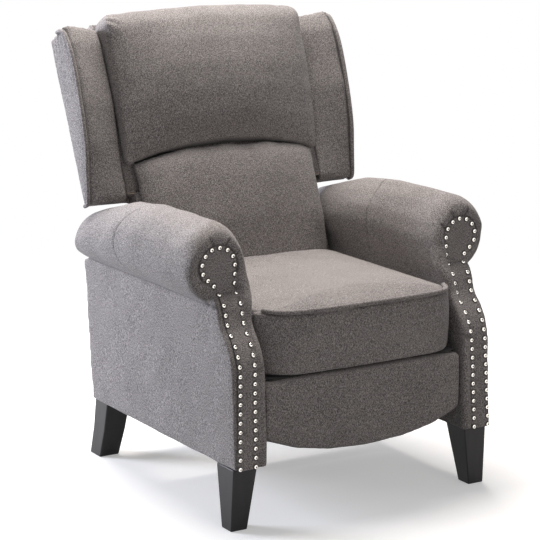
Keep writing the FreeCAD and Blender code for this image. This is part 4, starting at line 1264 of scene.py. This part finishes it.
@dataclass
class Back:
    """Head pillow, lumbar cushion, wings with their piping, outer back and lining."""

    finishes: Finishes
    lean: LeaningBack = field(default_factory=LeaningBack)
    corner_radius: float = 0.036  # of the pillow's top corners
    lumbar_spread: float = 0.008  # how far the lumbar cushion widens under the pillow
    wing_reach: float = 102.5  # mm, out of the back
    wing_top: float = 386.0  # mm, along the back
    wing_x: float = 350.0  # mm
    welt_radius: float = 0.0045
    seam_width: float = 0.0078
    turn: tuple[float, float] = (0.024, 0.0064)  # centre of the wing's lower front corner: out and along
    turn_radius: float = 0.015
    flange: tuple[float, float] = (0.0075, 0.0035)  # of the wing's piping: inwards and back
    lining_half: float = 254.4  # mm, between the wings
    lining_low_half: float = 235.0  # mm, between the arms

    def pillow(self) -> Piece:
        """The full head pillow with gathered top corners.

        Returns:
            The pillow.
        """
        piece = copied("head_cushion", "head_pillow")
        remesh(piece, 0.006)
        relax(piece, 4, 0.001)
        puff(piece, 0.010)
        even_out(piece, 16, 0.002)
        finer(piece)
        low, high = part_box("head_pillow")

        def rule(points: np.ndarray, normals: np.ndarray) -> np.ndarray:
            """Gather and round the top corners, and keep the pillow between the wings.

            Args:
                points: Places on the skin.
                normals: Their normals.

            Returns:
                The new places.
            """
            across, _, along = self.lean.read(points)
            corner = step(np.abs(across), 0.205, 0.245) * step(along, 0.345, 0.39)
            fan = np.arctan2(along - 0.40, 0.26 - np.abs(across))
            folds = np.sin(fan * 11.0) * corner * (across < 0)
            soft = waves(points, 0.2, 31)
            moved = points + normals * (0.0050 * corner + 0.0014 * folds + 0.0010 * soft)[:, None]
            across, _, along = self.lean.read(moved)
            beyond = np.maximum(np.abs(across) - (high.x - self.corner_radius), 0)
            above = np.maximum(along - (along.max() - 0.004 - self.corner_radius), 0)
            pull = 1 - 1 / np.maximum(np.hypot(beyond, above) / self.corner_radius, 1)
            pull *= (beyond > 0) & (above > 0)
            moved[:, 0] -= np.sign(across) * beyond * pull
            moved -= (above * pull)[:, None] * self.lean.upward()
            moved[:, 0] = np.clip(moved[:, 0], low.x - 0.0005, high.x + 0.0005)
            moved[:, 2] = np.minimum(moved[:, 2], high.z + 0.006)
            return moved

        reshape(piece, rule)
        return dress(piece, "back", self.finishes.cloth, ["head_pillow"])

    def lumbar(self) -> Piece:
        """The lumbar cushion under the pillow's arch.

        Returns:
            The cushion.
        """
        piece = copied("lumbar_pad", "lumbar_cushion")
        remesh(piece, 0.006)
        relax(piece, 6, 0.002)
        puff(piece, 0.009)
        relax(piece, 2)
        even_out(piece, 16, 0.002)
        finer(piece)
        low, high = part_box("lumbar_cushion")

        def rule(points: np.ndarray, normals: np.ndarray) -> np.ndarray:
            """Keep the cushion between the arms, and let it fill the room under the pillow.

            Args:
                points: Places on the skin.
                normals: Their normals.

            Returns:
                The new places.
            """
            across, level = np.abs(points[:, 0]), points[:, 2]
            moved = points + normals * (0.0015 * waves(points, 0.15, 41))[:, None]
            wide = self.lumbar_spread * step(level, 0.63, 0.67)
            moved[:, 0] += np.sign(points[:, 0]) * wide * step(across, 0.15, 0.22)
            moved[:, 0] = np.clip(moved[:, 0], low.x - 0.003 - wide, high.x + 0.003 + wide)
            moved[:, 2] += 0.004 * step(level, 0.64, 0.68) * step(across, 0.08, 0.16)
            moved[:, 1] = np.maximum(moved[:, 1], low.y - 0.006)
            return moved

        reshape(piece, rule)
        return dress(piece, "back", self.finishes.cloth, ["lumbar_cushion"])

    def wing_line(self, side: Side) -> list[tuple[float, float, float]]:
        """The line of a wing's piping, from below round its front to the top.

        Args:
            side: The sitter's side.

        Returns:
            Its control points in millimetres.
        """
        reach, top = self.wing_reach, self.wing_top
        route = [
            (14, -7),
            (22, -8),
            (31, -7),
            (39, 5),
            (reach - 46, 55),
            (reach - 21, 115),
            (reach - 6, 210),
            (reach + 1, top - 86),
            (reach - 6, top - 40),
            (reach - 22, top),
            (reach - 52, top - 1),
        ]
        proud = 1.5
        x = side.value * self.wing_x
        return [self.lean.place(x, out + proud * ramped(along, 0, 50), along) for out, along in route]

    def wing(self, side: Side) -> None:
        """One wing and the piping round its outer edge.

        Args:
            side: The sitter's side.
        """
        piece = copied(f"{side.word}_wing_cover", f"{side.word}_wing")
        remesh(piece, 0.004)
        relax(piece, 4, 0.0015)
        even_out(piece, 24)

        def rule(points: np.ndarray, normals: np.ndarray) -> np.ndarray:
            """Gathers below the top edge, soft filling, a round lower corner and a fuller foot inside.

            Args:
                points: Places on the skin.
                normals: Their normals.

            Returns:
                The new places.
            """
            across, out, along = self.lean.read(points)
            high = step(along, 0.30, 0.375) * step(np.abs(across), 0.335, 0.35)
            pinch = np.sin(out * 420.0) * high
            soft = waves(points, 0.11, 51 + side.value)
            moved = points + normals * (0.0012 * pinch + 0.0010 * soft)[:, None]
            ahead = out - self.turn[0]
            below = along - self.turn[1]
            cornered = (0.341 * ahead + 0.940 * below < 0) & (0.13 * below < ahead)
            past = np.maximum(np.hypot(ahead, below) / self.turn_radius, 1)
            share = (1 - 1 / past) * cornered
            moved -= (share * ahead)[:, None] * self.lean.outward() + (share * below)[:, None] * self.lean.upward()
            inner = (1 - step(np.abs(across), 0.254, 0.285)) * (1 - step(along, 0.012, 0.045))
            moved[:, 0] -= side.value * 0.008 * inner * step(out, 0.03, 0.06)
            return moved

        reshape(piece, rule)
        line = self.wing_line(side)
        reshape(piece, lambda points, normals: points - normals * (0.0012 * near(beside(points, line), 0.007))[:, None])
        points, _ = read_points(piece)
        # Painted shade along the wing's inner front edge, where the pillow meets it.
        crease = 0.65 * (1 - step(np.abs(points[:, 0]), 0.2545, 0.2605))
        mark(piece, "seam", np.maximum(near(beside(points, line), self.seam_width), crease))
        dress(piece, "back", self.finishes.cloth, [f"{side.word}_wing"])
        cord = piping(f"{side.word}_wing_piping", line, self.welt_radius)
        inwards, behind = self.flange
        self.sew_on(cord, line, Vector((-side.value * inwards, 0, 0)) - Vector(self.lean.outward()) * behind)
        dress(cord, "back", self.finishes.cloth, [f"{side.word}_wing_welt"])

    def sew_on(self, cord: Piece, line: Sequence[Sequence[float]], reach: Vector) -> None:
        """Add the flange of cloth that a cord is sewn on with.

        Args:
            cord: Mesh of the cord.
            line: The cord's control points in millimetres.
            reach: How far the flange goes from the cord.
        """
        corners = [Vector(spot) * MM for spot in line]
        halfway = [(first + second) / 2 for first, second in zip(corners, corners[1:])]
        path = []
        for start, corner, end in zip(halfway, corners[1:], halfway[1:]):
            path += [start, (start + corner * 2 + end) / 4]
        bm = bmesh.new()
        swept(bm, [*path, halfway[-1]], [reach])
        bmesh.ops.solidify(bm, geom=list(bm.faces), thickness=0.0012)
        flange = len(bm.verts)
        bm.from_mesh(cord.data)
        bm.to_mesh(cord.data)
        bm.free()
        smooth_faces(cord.data)
        # The flange is darkened: painted shade in the gap behind the cord.
        mark(cord, "seam", 0.7 * (np.arange(len(cord.data.vertices)) < flange))

    def outside(self) -> Piece:
        """The upholstered outer back, a slightly slack panel.

        Returns:
            The panel.
        """
        piece = copied("outside_back", "outer_back_panel")
        remesh(piece, 0.005)
        relax(piece, 3)
        reshape(piece, lambda points, normals: points + normals * (0.0012 * waves(points, 0.2, 61))[:, None])
        return dress(piece, "back", self.finishes.cloth, ["outer_back_panel"])

    def lining(self) -> Piece:
        """Fabric over the frame behind the cushions, from the outer back over the top and down.

        Returns:
            The lining.
        """

        def build(bm: bmesh.types.BMesh) -> None:
            """The wide part between the wings, the narrow part between the arms and the stiles' sides.

            Args:
                bm: Empty mesh, which takes them.
            """
            over = [(3, 385), (4, 398), (18, 401), (36, 401), (44, 398), (45.5, 388), (43.5, 200), (43.5, 6)]
            low = [(43.5, 12), (43.5, -120), (43.5, -243)]
            for half, path in ((self.lining_half, over), (self.lining_low_half, low)):
                line = [[c * MM for c in self.lean.place(-half, *spot)] for spot in path]
                swept(bm, line, [(half * 2 * MM / 12, 0, 0)] * 12)
            for side in Side:
                turn = [(253.2, 3.6), (236, 3.6), (235, 0), (235, -120), (235, -243)]
                line = [[c * MM for c in self.lean.place(side.value * x, 9, along)] for x, along in turn]
                swept(bm, line, [self.lean.outward() * 0.0345 / 4] * 4)
                corner = [self.lean.place(side.value * 254.9, 2.6, along) for along in (400.6, 374, 348)]
                line = [[c * MM for c in spot] for spot in corner]
                swept(bm, line, [self.lean.outward() * 0.0415 / 4] * 4)
            bmesh.ops.remove_doubles(bm, verts=bm.verts, dist=WELD)
            bmesh.ops.recalc_face_normals(bm, faces=bm.faces)
            bmesh.ops.solidify(bm, geom=list(bm.faces), thickness=0.0012)

        piece = piece_from("back_lining", build)
        return dress(piece, "back", self.finishes.cloth)

    def build(self) -> None:
        """Make the back's soft parts."""
        self.lining()
        self.pillow()
        self.lumbar()
        for side in Side:
            self.wing(side)
        self.outside()


@dataclass
class Base:
    """The legs and the skirt panel."""

    finishes: Finishes
    leg_edge: float = 0.0025  # how far a leg's edges are eased
    sharp: float = 0.6  # least angle of such an edge, in radians
    narrow: float = 0.0012  # area of the largest face that is shaded round

    def leg(self, name: str) -> Piece:
        """One leg with eased edges.

        Args:
            name: Packed name of the leg.

        Returns:
            The leg.
        """
        piece = copied(f"{name}_turned", name)
        bm = bmesh.new()
        bm.from_mesh(piece.data)
        bmesh.ops.dissolve_limit(bm, angle_limit=0.02, verts=bm.verts, edges=bm.edges)
        edges = [e for e in bm.edges if len(e.link_faces) == 2 and e.calc_face_angle() > self.sharp]
        bmesh.ops.bevel(bm, geom=edges, offset=self.leg_edge, segments=3, profile=0.5, material=-1, affect="EDGES")
        bm.to_mesh(piece.data)
        bm.free()
        for face in piece.data.polygons:
            face.use_smooth = face.area < self.narrow
        return dress(piece, "base", self.finishes.legs, [name])

    def skirt(self) -> Piece:
        """The fabric panel under the back.

        Returns:
            The panel.
        """
        piece = copied("skirt_cover", "rear_skirt_panel")
        remesh(piece, 0.004)
        relax(piece, 3)
        return dress(piece, "base", self.finishes.cloth, ["rear_skirt_panel"])

    def build(self) -> None:
        """Make the legs and the skirt."""
        for end in ("front", "rear"):
            for side in Side:
                self.leg(f"{side.word}_{end}_leg")
        self.skirt()


@dataclass
class Carried:
    """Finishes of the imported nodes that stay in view."""

    finishes: Finishes

    def finish_of(self, node: str) -> Material:
        """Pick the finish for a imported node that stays.

        Args:
            node: Its name.

        Returns:
            The material.
        """
        if any(word in node for word in ("plate", "pins", "links", "bracket", "springs")):
            return self.finishes.steel
        if "webbing" in node:
            return self.finishes.webbing
        if any(word in node for word in ("rail", "stile", "board")):
            return self.finishes.frame_wood
        return self.finishes.cloth

    def build(self) -> None:
        """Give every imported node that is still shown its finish."""
        for name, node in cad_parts.items():
            if node.hide_render:
                continue
            node.data.materials.clear()
            node.data.materials.append(self.finish_of(name))
            LOG.info("%s keeps its packed shape", name)


@dataclass
class Studio:
    """Pale floor, soft light and a camera at the photograph's angle."""

    eye: tuple[float, float, float] = (-2.4122, -3.9550, 1.4633)
    target: tuple[float, float, float] = (-0.0312, -0.0500, 0.4583)
    lens: float = 141.67  # mm, on a sensor 36 mm wide
    middle: tuple[float, float, float] = (0, 0, 0.45)  # of the chair, which the lamps face
    sky: float = 0.22
    floor_radius: float = 3.2
    floor_fade: tuple[float, float] = (1.1, 2.4)  # from its middle: all there, and gone
    floor_glow: float = 0.34

    def camera(self) -> None:
        """Set the camera, for a frame of 540 by 540."""
        data = bpy.data.cameras.new("photo_view")
        data.lens = self.lens
        data.sensor_width = 36.0
        data.clip_start = 0.1
        data.clip_end = 60.0
        camera = placed("photo_view", data)
        camera.location = self.eye
        way = Vector(self.target) - Vector(self.eye)
        camera.rotation_mode = "QUATERNION"
        camera.rotation_quaternion = way.to_track_quat("-Z", "Y")
        bpy.context.scene.camera = camera

    def softbox(self, name: str, place: Sequence[float], size: float, power: float, tint: str) -> None:
        """Hang a square lamp that faces the chair.

        Args:
            name: Its name.
            place: Where it hangs.
            size: Length of its sides.
            power: In watts.
            tint: Hex colour of its light.
        """
        data = bpy.data.lights.new(name, "AREA")
        data.color = linear(tint)[:3]
        data.size = size
        data.energy = power
        lamp = placed(name, data)
        lamp.location = place
        lamp.rotation_euler = (Vector(self.middle) - Vector(place)).to_track_quat("-Z", "Y").to_euler()

    def world(self) -> None:
        """White to the eye and in reflections, a plain grey for the light that it gives."""
        world = bpy.data.worlds.new("studio")
        bpy.context.scene.world = world
        world.use_nodes = True
        world.node_tree.nodes.clear()
        bench = NodeBench(world.node_tree)
        ray = bench.add("ShaderNodeLightPath").node.outputs
        mirrored = {0: ray["Is Glossy Ray"], 1: ray["Is Transmission Ray"]}
        mirrored = bench.add("ShaderNodeMath", mirrored, operation="MAXIMUM")
        seen = bench.add("ShaderNodeMath", {0: ray["Is Camera Ray"], 1: mirrored}, operation="MAXIMUM")
        light = bench.add("ShaderNodeBackground", {"Color": linear("#f2f4f7"), "Strength": self.sky})
        shown = bench.add("ShaderNodeBackground", {"Color": linear("#ffffff"), "Strength": 1.0})
        mix = bench.add("ShaderNodeMixShader", {0: seen, 1: light, 2: shown})
        bench.add("ShaderNodeOutputWorld", {0: mix})

    def floor(self) -> None:
        """A round white floor that fades out into the white round it, and keeps the chair's shadow."""

        def build(bm: bmesh.types.BMesh) -> None:
            """One disc."""
            bmesh.ops.create_circle(bm, cap_ends=True, segments=96, radius=self.floor_radius)

        piece = piece_from("studio_floor", build)
        bench = ShaderBench("studio_floor")
        bench.set(Base_Color=linear("#868686"), Roughness=0.9, Specular_IOR_Level=0.0)
        distance = bench.add("ShaderNodeVectorMath", {0: bench.places}, "Value", operation="LENGTH")
        start, end = self.floor_fade
        edge = bench.add("ShaderNodeMapRange", {"Value": distance, "From Min": start, "From Max": end}, "Result")
        paper = bench.add("ShaderNodeBsdfDiffuse", {"Color": linear("#e8e8e8")})
        glow = bench.add("ShaderNodeEmission", {"Color": linear("#ffffff"), "Strength": self.floor_glow})
        shown = bench.add("ShaderNodeAddShader", {0: paper, 1: glow})
        ray = bench.add("ShaderNodeLightPath").node.outputs
        seen = {0: ray["Is Camera Ray"], 1: ray["Is Glossy Ray"]}
        seen = bench.add("ShaderNodeMath", seen, operation="MAXIMUM")
        seen = bench.add("ShaderNodeMath", {0: seen, 1: ray["Is Transmission Ray"]}, operation="MAXIMUM")
        surface = bench.add("ShaderNodeMixShader", {0: seen, 1: bench.shader.outputs[0], 2: shown})
        clear = bench.add("ShaderNodeBsdfTransparent")
        mix = bench.add("ShaderNodeMixShader", {0: edge, 1: surface, 2: clear})
        output = next(n for n in bench.tree.nodes if n.type == "OUTPUT_MATERIAL")
        bench.tree.links.new(mix, output.inputs["Surface"])
        piece.data.materials.append(bench.material)

    def build(self) -> None:
        """Make the studio."""
        bpy.context.scene.view_settings.view_transform = "Standard"
        self.camera()
        self.world()
        self.floor()
        self.softbox("key_left", (-2.3, 2.0, 1.0), 1.1, 122, "#eef2ff")
        self.softbox("top_soft", (0.15, 0.72, 3.1), 1.8, 140, "#fff9f4")
        self.softbox("front_fill", (0.5, -3.4, 1.5), 2.0, 19, "#fff6f0")


def main() -> None:
    """Build the chair and its studio."""
    logging.basicConfig(level=logging.INFO, format="%(name)s %(message)s")
    Studio().build()
    finishes = Finishes()
    for side in Side:
        RolledArm(side, finishes).build()
    Seat(finishes).build()
    Footrest(finishes).build()
    Back(finishes).build()
    Base(finishes).build()
    Carried(finishes).build()


if __name__ == "__main__":
    main()
